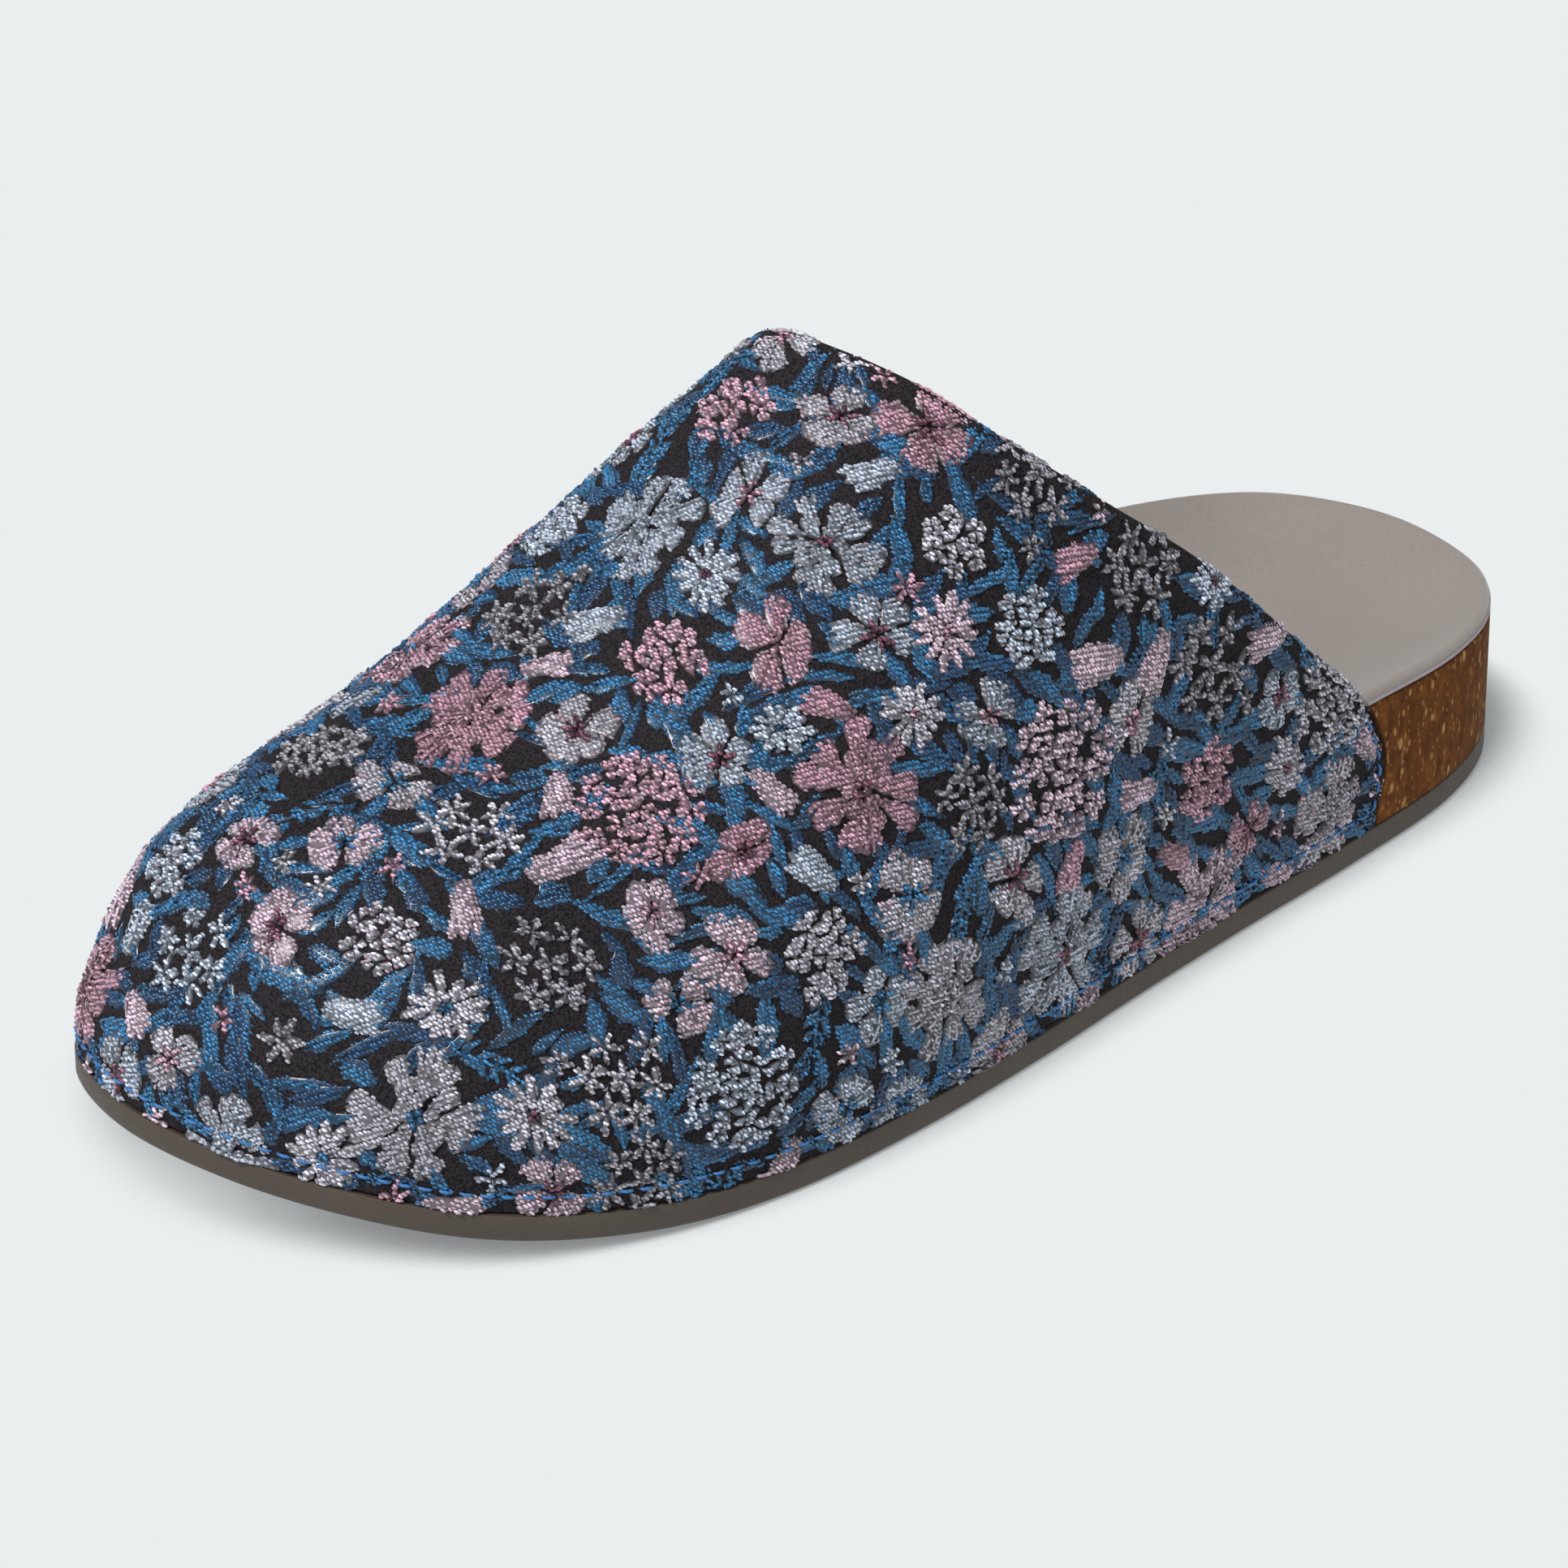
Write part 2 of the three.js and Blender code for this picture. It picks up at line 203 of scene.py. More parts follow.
class Last:
    """Form of the shoe, from the CAD part's tables and sizes, before it is centred on its footprint."""

    def __init__(self, sizes):
        self.size = sizes
        outer = [(row[1] * self.width(row[0]), self.lengthwise(row[0])) for row in OUTLINE]
        inner = [(-row[2] * self.width(row[0]), self.lengthwise(row[0])) for row in OUTLINE[::-1]]
        toe = (TOE_TIP * sizes.ball_width, self.lengthwise(0))
        heel = (HEEL_TIP * sizes.heel_width, self.lengthwise(1))
        self.knots = np.array([toe, *outer, heel, *inner])
        turn = self.outline(np.linspace(0, 1, 2000))
        self.centre = (turn.max(axis=0) + turn.min(axis=0)) / 2

    def lengthwise(self, share):
        return (share - 0.5) * self.size.sole_length

    def share(self, y):
        return y / self.size.sole_length + 0.5

    def width(self, share):
        return mix(self.size.ball_width, self.size.heel_width, smooth(share, 0.3, 0.8))

    def outline(self, place):
        """Points of the sole's outline, a closed centripetal curve, at places from 0 to 1."""
        count = len(self.knots)
        at = np.mod(place, 1) * count
        whole = np.floor(at).astype(int)
        t = (at - whole)[..., None]
        p0, p1, p2, p3 = (self.knots[(whole + k) % count] for k in (-1, 0, 1, 2))
        d0, d1, d2 = (
            np.linalg.norm(b - a, axis=-1, keepdims=True) ** 0.5 for a, b in ((p0, p1), (p1, p2), (p2, p3))
        )
        start = ((p1 - p0) / d0 - (p2 - p0) / (d0 + d1) + (p2 - p1) / d1) * d1
        end = ((p2 - p1) / d1 - (p3 - p1) / (d1 + d2) + (p3 - p2) / d2) * d1
        return p1 + t * (start + t * (3 * (p2 - p1) - 2 * start - end + t * (start + end - 2 * (p2 - p1))))

    def outline_place(self, side, y):
        """Where the outer (side 1) or inner (side -1) half of the outline passes y."""
        places = np.linspace(0 if side > 0 else 1, 0.5, 4001)
        return np.interp(y, self.outline(places)[:, 1], places)

    def edge(self, side, y):
        return self.outline(self.outline_place(side, y))

    def middle(self, y):
        return (self.edge(1, y)[..., 0] + self.edge(-1, y)[..., 0]) / 2

    def spring(self, y):
        return self.size.toe_spring * np.clip(1 - self.share(y) / SPRING_LINE, 0, 1) ** 2

    def hem(self, y):
        return self.spring(y) + self.size.outsole + self.size.clearance

    def stations(self, side_steps, toe_steps, heel_steps):
        """Points of the outline and the spine points that they face."""
        ball, heel = self.lengthwise(BALL_LINE), self.lengthwise(HEEL_LINE)
        y = np.linspace(ball, heel, side_steps + 1)

        def arc(start, end, steps, spine_y):
            place = np.linspace(start, end, steps + 1)[1:-1]
            return self.outline(place), np.full(len(place), spine_y)

        parts = [
            (self.edge(1, y), y),
            arc(self.outline_place(1, heel), self.outline_place(-1, heel), heel_steps, heel),
            (self.edge(-1, y[::-1]), y[::-1]),
            arc(self.outline_place(-1, ball) - 1, self.outline_place(1, ball), toe_steps, ball),
        ]
        foot = np.concatenate([part[0] for part in parts])
        spine_y = np.concatenate([part[1] for part in parts])
        return foot, np.column_stack([self.middle(spine_y), spine_y])

    def footbed(self, y, ring, foot, spine):
        """Height of the cork's top, which rises late to its rims."""
        outward = np.clip(0.5 + (foot[:, 0] - spine[:, 0]) / self.width(self.share(foot[:, 1])), 0, 1)
        rim = mix(*(along(FOOTBED, column, self.share(foot[:, 1])) for column in (INNER, OUTER)), outward)
        seat = along(FOOTBED, SEAT, self.share(y))
        return self.hem(y) + self.size.cork * mix(seat, rim, ring ** RIM_CURVE)

    def arch(self, foot, spine, up):
        """Outer face of the upper, between the hem point foot and the ridge over spine."""
        turn = up * math.pi / 2
        back = np.clip((self.share(spine[..., 1]) - BALL_LINE) / (COLLAR_TOP - BALL_LINE), 0, 1)
        fullness = mix(ARCH_FULLNESS["ball"], ARCH_FULLNESS["collar"], back)
        outward = np.clip(np.cos(turn), 0, 1) ** (2 / fullness)
        flat = spine + (foot - spine) * outward[..., None]
        ridge = mix(self.size.toe_box, self.size.instep, along(RIDGE, 1, self.share(flat[..., 1])))
        z = mix(self.hem(foot[..., 1]), ridge, np.clip(np.sin(turn), 0, 1) ** (2 / ARCH_ROUNDNESS))
        return np.concatenate([flat, z[..., None]], axis=-1)

    def ridge_spine(self, y):
        back = np.clip((self.share(y) - BALL_LINE) / (COLLAR_TOP - BALL_LINE), 0, 1.3)
        x = self.size.ball_width * mix(RIDGE_SIDE["ball"], RIDGE_SIDE["collar"], back)
        return np.stack([x, np.broadcast_to(y, np.shape(x))], axis=-1)

    def collar(self, side, up):
        """How far back the collar lies; the curve runs on smoothly over the ridge."""
        near, far = (1, 2) if side > 0 else (2, 1)
        over = np.column_stack([2 - COLLAR[-2::-1, 0], COLLAR[-2::-1, far]])
        return self.lengthwise(along(np.vstack([COLLAR[:, [0, near]], over]), 1, up))

    def upper(self, ups, side_steps, toe_steps, growth=0.0):
        """Points on the upper's outer face: a row for each of ups, from the inner collar round the toe."""
        ball = self.lengthwise(BALL_LINE)
        up = ups[:, None]

        def side(sign, share):
            y = mix(ball, self.collar(sign, up) + growth, share[None, :])
            return self.arch(self.edge(sign, y), self.ridge_spine(y), np.broadcast_to(up, y.shape))

        share = np.linspace(0, 1, side_steps + 1)
        places = np.linspace(self.outline_place(-1, ball) - 1, self.outline_place(1, ball), toe_steps + 1)
        foot = np.broadcast_to(self.outline(places), (len(ups), toe_steps + 1, 2))
        shape = foot.shape[:2]
        toe = self.arch(foot, self.ridge_spine(np.full(shape, ball)), np.broadcast_to(up, shape))
        return np.concatenate([side(-1, share[:0:-1]), toe, side(1, share[1:])], axis=1)


def grid_faces(rows, columns, closed=False):
    """Quads between neighbouring rows of points; closed rows join their last point to their first."""
    r, c = np.meshgrid(np.arange(rows - 1), np.arange(columns if closed else columns - 1), indexing="ij")
    d = (c + 1) % columns
    here, ahead = r * columns, (r + 1) * columns
    return np.stack([here + c, here + d, ahead + d, ahead + c], -1).reshape(-1, 4)


WELD = MM / 1000


def welded(points, quads):
    """Points merged where they meet, and triangles without the ones that shrink to a line."""
    places = np.round(points / WELD)
    _, first, index = np.unique(places, axis=0, return_index=True, return_inverse=True)
    tris = index.reshape(-1)[np.concatenate([quads[:, [0, 1, 2]], quads[:, [0, 2, 3]]])]
    full = (tris[:, 0] != tris[:, 1]) & (tris[:, 1] != tris[:, 2]) & (tris[:, 2] != tris[:, 0])
    return points[first], tris[full], index.reshape(-1)


def normals_of(points, tris):
    """Area-weighted normals of the points."""
    a, b, c = (points[tris[:, k]] for k in range(3))
    face = np.cross(b - a, c - a)
    total = np.zeros_like(points)
    for k in range(3):
        np.add.at(total, tris[:, k], face)
    return total / np.maximum(np.linalg.norm(total, axis=1, keepdims=True), 1e-12)


def boundary(tris):
    """Edges that only one triangle has, in that triangle's direction."""
    edges = np.concatenate([tris[:, [0, 1]], tris[:, [1, 2]], tris[:, [2, 0]]])
    have = set(map(tuple, edges))
    return np.array([edge for edge in map(tuple, edges) if edge[::-1] not in have])


def make_mesh(last, name, points, faces, materials, smooth_angle=40, face_material=None):
    """Object in the part's frame from points of the last."""
    mesh = bpy.data.meshes.new(name)
    placed = points - np.array([*last.centre, 0])
    mesh.from_pydata(placed.tolist(), [], [list(face) for face in np.asarray(faces).tolist()])
    for material in materials:
        mesh.materials.append(material)
    if face_material is not None:
        mesh.polygons.foreach_set("material_index", face_material)
    mesh.validate()
    mesh.shade_smooth()
    mesh.set_sharp_from_angle(angle=math.radians(smooth_angle))
    piece = bpy.data.objects.new(name, mesh)
    bpy.context.scene.collection.objects.link(piece)
    return piece


def hand_over(piece, slot, *nodes):
    """Makes a piece ride on the shoe and stand for CAD nodes, which it hides; slot is not used."""
    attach(piece, "root")
    if nodes:
        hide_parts(*nodes)


def slab(last, under, over, rim, rings, steps, top_rings=None):
    """Points and quads of a closed sole layer; rim lists (inset, lift, share of the way up) for its side."""
    top_rings = rings if top_rings is None else top_rings
    foot, spine = last.stations(*steps)
    outward = foot - spine
    outward /= np.linalg.norm(outward, axis=1, keepdims=True)

    def row(ring, inset, lift, share):
        flat = mix(spine, foot - outward * inset, ring)
        low, high = (height(flat[:, 1], ring, foot, spine) for height in (under, over))
        return np.column_stack([flat, mix(low, high, share) + lift])

    rows = [row(ring, rim[0][0] * ring, 0, 0) for ring in rings[:0:-1]]
    rows += [row(1, *step) for step in rim]
    rows += [row(ring, rim[-1][0] * ring, 0, 1) for ring in top_rings[1:]]
    return np.concatenate(rows), grid_faces(len(rows), len(foot), closed=True), len(foot)


def shell(last, outside, inside, growth, drop, ups, side_steps, toe_steps):
    """Closed body that holds the upper, from outside to inside of its face."""
    grid = last.upper(ups, side_steps, toe_steps, growth)
    points, tris, _ = welded(grid.reshape(-1, 3), grid_faces(*grid.shape[:2]))
    normals = normals_of(points, tris)
    on_hem = points[:, 2] < last.hem(points[:, 1]) + MM / 100
    normals[on_hem, 2] = 0
    normals /= np.linalg.norm(normals, axis=1, keepdims=True)
    outer, inner = points + normals * outside, points - normals * inside
    outer[on_hem, 2] -= drop
    inner[on_hem, 2] -= drop
    count = len(points)
    edges = boundary(tris)
    sides = np.concatenate([
        np.column_stack([edges[:, 1], edges[:, 0], edges[:, 0] + count]),
        np.column_stack([edges[:, 1], edges[:, 0] + count, edges[:, 1] + count]),
    ])
    return np.concatenate([outer, inner]), np.concatenate([tris, tris[:, ::-1] + count, sides])


# Body that cuts the sole layers: how far it reaches outside and below the upper, and behind the collar
ROOM_OUTSIDE = 6 * MM
ROOM_BEHIND = -0.5 * MM


def cut_for_upper(last, piece, material):
    """Cuts away from a sole layer what the upper takes up."""
    gap = last.size.wall + last.size.clearance
    points, faces = shell(last, ROOM_OUTSIDE, gap, ROOM_BEHIND, ROOM_OUTSIDE, np.linspace(0, 1, 60), 70, 90)
    room = make_mesh(last, "room", points, faces, [material])
    cut = piece.modifiers.new("Room for the upper", "BOOLEAN")
    cut.operation = "DIFFERENCE"
    cut.solver = "MANIFOLD"
    cut.object = room
    bpy.context.view_layer.objects.active = piece
    bpy.ops.object.modifier_apply(modifier=cut.name)
    bpy.data.objects.remove(room)
    piece.data.set_sharp_from_angle(angle=math.radians(40))


def add(tree, kind, settings=None, **inputs):
    """Adds a node with its settings; an input, by name or in[number], is a value or a socket to link."""
    node = tree.nodes.new(kind)
    for key, value in (settings or {}).items():
        setattr(node, key, value)
    for key, value in inputs.items():
        numbered = key[:2] == "in" and key[2:].isdigit()
        socket = node.inputs[int(key[2:]) if numbered else key.replace("_", " ")]
        if isinstance(value, bpy.types.NodeSocket):
            tree.links.new(value, socket)
        else:
            opaque = socket.type == "RGBA" and np.shape(value) == (3,)
            socket.default_value = (*value, 1) if opaque else value
    return node


def new_material(name):
    """Material with a bare node tree, and its output."""
    material = bpy.data.materials.new(name)
    material.use_nodes = True
    material.node_tree.nodes.clear()
    return material, material.node_tree


def surface(tree, **inputs):
    """Ends a tree in one Principled shader."""
    shader = add(tree, "ShaderNodeBsdfPrincipled", **inputs)
    add(tree, "ShaderNodeOutputMaterial", Surface=shader.outputs[0])


def embroidered_thread(name, base):
    """Satin-stitched polyester thread with a real gloss; its colour carries a painted highlight along each
    knot's top and painted shade where it dips under.
    """
    material, tree = new_material(name)
    # The shade attribute scales the colour with painted light: a painted highlight on knot tops, painted
    # shade at their feet, under them and in the petals' folds, with random tone mixed in.
    shade = add(tree, "ShaderNodeAttribute", {"attribute_name": "shade"})
    place = add(tree, "ShaderNodeTexCoord")
    drift = add(tree, "ShaderNodeTexNoise", Vector=place.outputs["Object"], Scale=1 / (9 * MM), Detail=2.0)
    patch = add(tree, "ShaderNodeMapRange", Value=drift.outputs["Fac"], in1=0.3, in2=0.7, in3=0.9, in4=1.1)
    # depth: the painted highlight and painted shade as a factor on the colour
    depth = add(tree, "ShaderNodeMapRange", Value=shade.outputs["Fac"], in1=0.0, in2=1.45, in3=0.03, in4=1.45)
    light = add(tree, "ShaderNodeMath", {"operation": "MULTIPLY"}, in0=depth.outputs[0], in1=patch.outputs[0])
    tinted = add(
        tree, "ShaderNodeMix", {"data_type": "RGBA", "blend_type": "MULTIPLY"}, in0=1.0, in6=base,
        in7=light.outputs[0],
    )
    fibres = add(tree, "ShaderNodeTexNoise", Vector=place.outputs["Object"], Scale=1 / (0.3 * MM), Detail=2.0)
    rough = add(tree, "ShaderNodeMapRange", Value=fibres.outputs["Fac"], in1=0.3, in2=0.7, in3=0.27, in4=0.38)
    bump = add(tree, "ShaderNodeBump", Strength=0.2, Distance=0.06 * MM, Height=fibres.outputs["Fac"])
    surface(
        tree, Base_Color=tinted.outputs[2], Roughness=rough.outputs[0], Normal=bump.outputs[0], IOR=1.5,
        Sheen_Weight=0.1, Sheen_Roughness=0.4,
    )
    return material


def sewing_thread(base):
    """Twisted polyester sewing thread: a fine ply with a low shine."""
    material, tree = new_material("Polyester sewing thread, twisted")
    place = add(tree, "ShaderNodeTexCoord")
    ply = add(
        tree, "ShaderNodeTexWave", {"bands_direction": "DIAGONAL"}, Vector=place.outputs["Object"],
        Scale=1 / (1.6 * MM),
    )
    light = add(tree, "ShaderNodeMapRange", Value=ply.outputs["Fac"], in1=0.0, in2=1.0, in3=0.7, in4=1.1)
    tint = add(
        tree, "ShaderNodeMix", {"data_type": "RGBA", "blend_type": "MULTIPLY"}, in0=1.0, in6=base,
        in7=light.outputs[0],
    )
    bump = add(tree, "ShaderNodeBump", Strength=0.5, Distance=0.08 * MM, Height=ply.outputs["Fac"])
    surface(tree, Base_Color=tint.outputs[2], Roughness=0.5, Normal=bump.outputs[0], IOR=1.5)
    return material


def brocade_ground(base):
    """Plain-woven black ground cloth: dull, with the faint lighter points of its weave."""
    material, tree = new_material("Brocade ground, woven")
    place = add(tree, "ShaderNodeTexCoord")
    points = add(
        tree, "ShaderNodeTexVoronoi", {"feature": "F1"}, Vector=place.outputs["Object"], Scale=1 / (0.42 * MM)
    )
    rise = add(
        tree, "ShaderNodeMapRange", Value=points.outputs["Distance"], in1=0.15, in2=0.75, in3=1.0, in4=0.0
    )
    tint = add(
        tree, "ShaderNodeMix", {"data_type": "RGBA"}, in0=rise.outputs[0], in6=tuple(c * 0.55 for c in base),
        in7=rgb("#2e282b"),
    )
    bump = add(tree, "ShaderNodeBump", Strength=0.6, Distance=0.12 * MM, Height=rise.outputs[0])
    surface(
        tree, Base_Color=tint.outputs[2], Roughness=0.8, Normal=bump.outputs[0], IOR=1.5,
        Specular_IOR_Level=0.15,
    )
    return material


def lining_cloth(base):
    """Brushed polyester lining: soft, dull and close."""
    material, tree = new_material("Polyester lining, brushed")
    place = add(tree, "ShaderNodeTexCoord")
    nap = add(tree, "ShaderNodeTexNoise", Vector=place.outputs["Object"], Scale=1 / (0.8 * MM), Detail=3.0)
    bump = add(tree, "ShaderNodeBump", Strength=0.4, Distance=0.1 * MM, Height=nap.outputs["Fac"])
    surface(tree, Base_Color=base, Roughness=0.9, Normal=bump.outputs[0], IOR=1.45, Sheen_Weight=0.3)
    return material


def natural_cork(base, fleck):
    """Pressed cork granulate: brown grains drawn into upright streaks, with small pale flecks among them."""
    material, tree = new_material("Cork granulate, pressed")
    place = add(tree, "ShaderNodeTexCoord")
    tall = add(tree, "ShaderNodeMapping", Vector=place.outputs["Object"], Scale=(1, 1, 0.52))
    mottle = add(
        tree, "ShaderNodeTexNoise", Vector=tall.outputs[0], Scale=1 / (1.9 * MM), Detail=5.0, Roughness=0.65
    )
    browns = add(tree, "ShaderNodeValToRGB", Fac=mottle.outputs["Fac"])
    ramp = browns.color_ramp
    ramp.elements[0].position, ramp.elements[0].color = 0.3, (*(c * 0.6 for c in base), 1)
    ramp.elements[1].position, ramp.elements[1].color = 0.72, (*rgb("#78481c"), 1)
    middle = ramp.elements.new(0.5)
    middle.color = (*base, 1)
    tint = browns.outputs["Color"]
    for grain, share, strength in ((0.8 * MM, 0.24, 0.5), (1.5 * MM, 0.2, 0.9)):
        specks = add(tree, "ShaderNodeTexVoronoi", {"feature": "F1"}, Vector=tall.outputs[0], Scale=1 / grain)
        chance = add(tree, "ShaderNodeSeparateColor", in0=specks.outputs["Color"])
        limit = add(
            tree, "ShaderNodeMapRange", Value=chance.outputs[0], in1=0.55, in2=1.0, in3=0.0, in4=share * 1.6
        )
        inside = add(
            tree, "ShaderNodeMapRange", Value=specks.outputs["Distance"], in1=limit.outputs[0], in3=1.0,
            in4=0.0,
        )
        edge = add(tree, "ShaderNodeMath", {"operation": "ADD"}, in0=limit.outputs[0], in1=0.14)
        tree.links.new(edge.outputs[0], inside.inputs[2])
        cover = add(tree, "ShaderNodeMath", {"operation": "MULTIPLY"}, in0=inside.outputs[0], in1=strength)
        flecked = add(tree, "ShaderNodeMix", {"data_type": "RGBA"}, in0=cover.outputs[0], in6=tint, in7=fleck)
        tint = flecked.outputs[2]
    bump = add(tree, "ShaderNodeBump", Strength=0.5, Distance=0.3 * MM, Height=mottle.outputs["Fac"])
    surface(
        tree, Base_Color=tint, Roughness=0.85, Normal=bump.outputs[0], IOR=1.45, Specular_IOR_Level=0.15
    )
    return material


def insole_suede(base):
    """Brushed microfibre suede: fine short nap with a soft sheen at a low angle."""
    material, tree = new_material("Microfibre suede, brushed")
    place = add(tree, "ShaderNodeTexCoord")
    nap = add(tree, "ShaderNodeTexNoise", Vector=place.outputs["Object"], Scale=1 / (0.7 * MM), Detail=4.0)
    cloud = add(tree, "ShaderNodeTexNoise", Vector=place.outputs["Object"], Scale=1 / (24 * MM), Detail=2.0)
    light = add(tree, "ShaderNodeMapRange", Value=cloud.outputs["Fac"], in1=0.3, in2=0.7, in3=0.95, in4=1.04)
    fine = add(tree, "ShaderNodeMapRange", Value=nap.outputs["Fac"], in1=0.3, in2=0.7, in3=0.94, in4=1.05)
    both = add(tree, "ShaderNodeMath", {"operation": "MULTIPLY"}, in0=light.outputs[0], in1=fine.outputs[0])
    tint = add(
        tree, "ShaderNodeMix", {"data_type": "RGBA", "blend_type": "MULTIPLY"}, in0=1.0, in6=base,
        in7=both.outputs[0],
    )
    bump = add(tree, "ShaderNodeBump", Strength=0.25, Distance=0.12 * MM, Height=nap.outputs["Fac"])
    surface(
        tree, Base_Color=tint.outputs[2], Roughness=0.85, Normal=bump.outputs[0], IOR=1.45, Sheen_Weight=0.35,
        Sheen_Roughness=0.5,
    )
    return material


def cut_foam(base):
    """Cut EVA foam: the fine open pores of the insole's edge, matt."""
    material, tree = new_material("EVA foam, cut")
    place = add(tree, "ShaderNodeTexCoord")
    pores = add(
        tree, "ShaderNodeTexVoronoi", {"feature": "F1"}, Vector=place.outputs["Object"], Scale=1 / (0.35 * MM)
    )
    light = add(
        tree, "ShaderNodeMapRange", Value=pores.outputs["Distance"], in1=0.0, in2=0.8, in3=0.86, in4=1.06
    )
    tint = add(
        tree, "ShaderNodeMix", {"data_type": "RGBA", "blend_type": "MULTIPLY"}, in0=1.0, in6=base,
        in7=light.outputs[0],
    )
    bump = add(tree, "ShaderNodeBump", Strength=0.3, Distance=0.08 * MM, Height=pores.outputs["Distance"])
    surface(tree, Base_Color=tint.outputs[2], Roughness=0.85, Normal=bump.outputs[0], IOR=1.45)
    return material


def moulded_rubber(base):
    """Moulded outsole rubber: even satin with a faint orange-peel grain."""
    material, tree = new_material("Rubber, moulded")
    place = add(tree, "ShaderNodeTexCoord")
    peel = add(tree, "ShaderNodeTexNoise", Vector=place.outputs["Object"], Scale=1 / (0.9 * MM), Detail=3.0)
    tone = add(tree, "ShaderNodeTexNoise", Vector=place.outputs["Object"], Scale=1 / (14 * MM), Detail=3.0)
    light = add(tree, "ShaderNodeMapRange", Value=tone.outputs["Fac"], in1=0.3, in2=0.7, in3=0.92, in4=1.06)
    tint = add(
        tree, "ShaderNodeMix", {"data_type": "RGBA", "blend_type": "MULTIPLY"}, in0=1.0, in6=base,
        in7=light.outputs[0],
    )
    rough = add(tree, "ShaderNodeMapRange", Value=peel.outputs["Fac"], in1=0.3, in2=0.7, in3=0.5, in4=0.62)
    bump = add(tree, "ShaderNodeBump", Strength=0.2, Distance=0.08 * MM, Height=peel.outputs["Fac"])
    surface(tree, Base_Color=tint.outputs[2], Roughness=rough.outputs[0], Normal=bump.outputs[0], IOR=1.52)
    return material


# Steps of the sole layers along the sides and round their ends, and rings from their edge inwards
SOLE_STEPS = (180, 90, 90)
RINGS = np.array([1, 0.985, 0.965, 0.94, 0.91, 0.87, 0.82, 0.76, 0.69, 0.61, 0.52, 0.42, 0.31, 0.2, 0.1, 0])

# Tread: finer steps and rings, the grooves, how far and how often they swing, their walls and the border
TREAD_STEPS = (340, 160, 140)
TREAD_RINGS = np.linspace(1, 0, 64)
TREAD_PITCH = 7 * MM
TREAD_DEPTH = 0.9 * MM
TREAD_SWING = 2.2 * MM
TREAD_WAVE = 22 * MM
TREAD_WALL = (0.5 * MM, 1.9 * MM)
TREAD_BORDER = (4 * MM, 5.6 * MM)


class MULE_OT_outsole(bpy.types.Operator):
    """Build the rubber outsole with its wave tread"""

    bl_idname = "mule.outsole"
    bl_label = "Outsole"

    def execute(self, context):
        size = context.scene.mule_sizes
        last = Last(size)
        bevel = size.bevel
        rim = [
            (bevel, 0, 0), (0.3 * bevel, 0.3 * bevel, 0), (0, bevel, 0), (0, -0.4 * MM, 1),
            (0.12 * MM, -0.12 * MM, 1), (0.4 * MM, 0, 1),
        ]

        def under(y, ring, foot, spine):
            return last.spring(y)

        def over(y, ring, foot, spine):
            return last.spring(y) + size.outsole

        points, faces, count = slab(last, under, over, rim, TREAD_RINGS, TREAD_STEPS, RINGS)
        reach = np.repeat(TREAD_RINGS[:0:-1], count)
        below = points[:len(reach)]
        foot, spine = last.stations(*TREAD_STEPS)
        width = np.tile(np.linalg.norm(foot - spine, axis=1), len(TREAD_RINGS) - 1)
        inside = smooth(width * (1 - reach), *TREAD_BORDER)
        wave = below[:, 1] + TREAD_SWING * np.sin(2 * math.pi * below[:, 0] / TREAD_WAVE)
        across = np.abs((wave / TREAD_PITCH) % 1 - 0.5) * TREAD_PITCH
        below[:, 2] += TREAD_DEPTH * inside * (1 - smooth(across, *TREAD_WALL))
        points, tris, _ = welded(points, faces)
        material = moulded_rubber(context.scene.mule_colours.rubber)
        piece = make_mesh(last, "outsole_rubber", points, tris, [material])
        hand_over(piece, "outsole_rubber", "outsole")
        return {"FINISHED"}


class MULE_OT_footbed(bpy.types.Operator):
    """Build the cork footbed, cut to fit inside the upper"""

    bl_idname = "mule.footbed"
    bl_label = "Cork footbed"

    def execute(self, context):
        size = context.scene.mule_sizes
        last = Last(size)

        def under(y, ring, foot, spine):
            return last.hem(y)

        rim = [(0, 0, 0), (0, -0.5 * MM, 1), (0.15 * MM, -0.15 * MM, 1), (0.5 * MM, 0, 1)]
        points, faces, _ = slab(last, under, last.footbed, rim, RINGS, SOLE_STEPS)
        points, tris, _ = welded(points, faces)
        colours = context.scene.mule_colours
        material = natural_cork(colours.cork, colours.fleck)
        piece = make_mesh(last, "cork_body", points, tris, [material])
        cut_for_upper(last, piece, material)
        hand_over(piece, "cork", "cork_footbed")
        return {"FINISHED"}


# Insole: radius of its rounded edge, and the upward lean below which a face is the cut edge of the foam
SOFT_EDGE = 1.2 * MM
UPRIGHT = 0.3


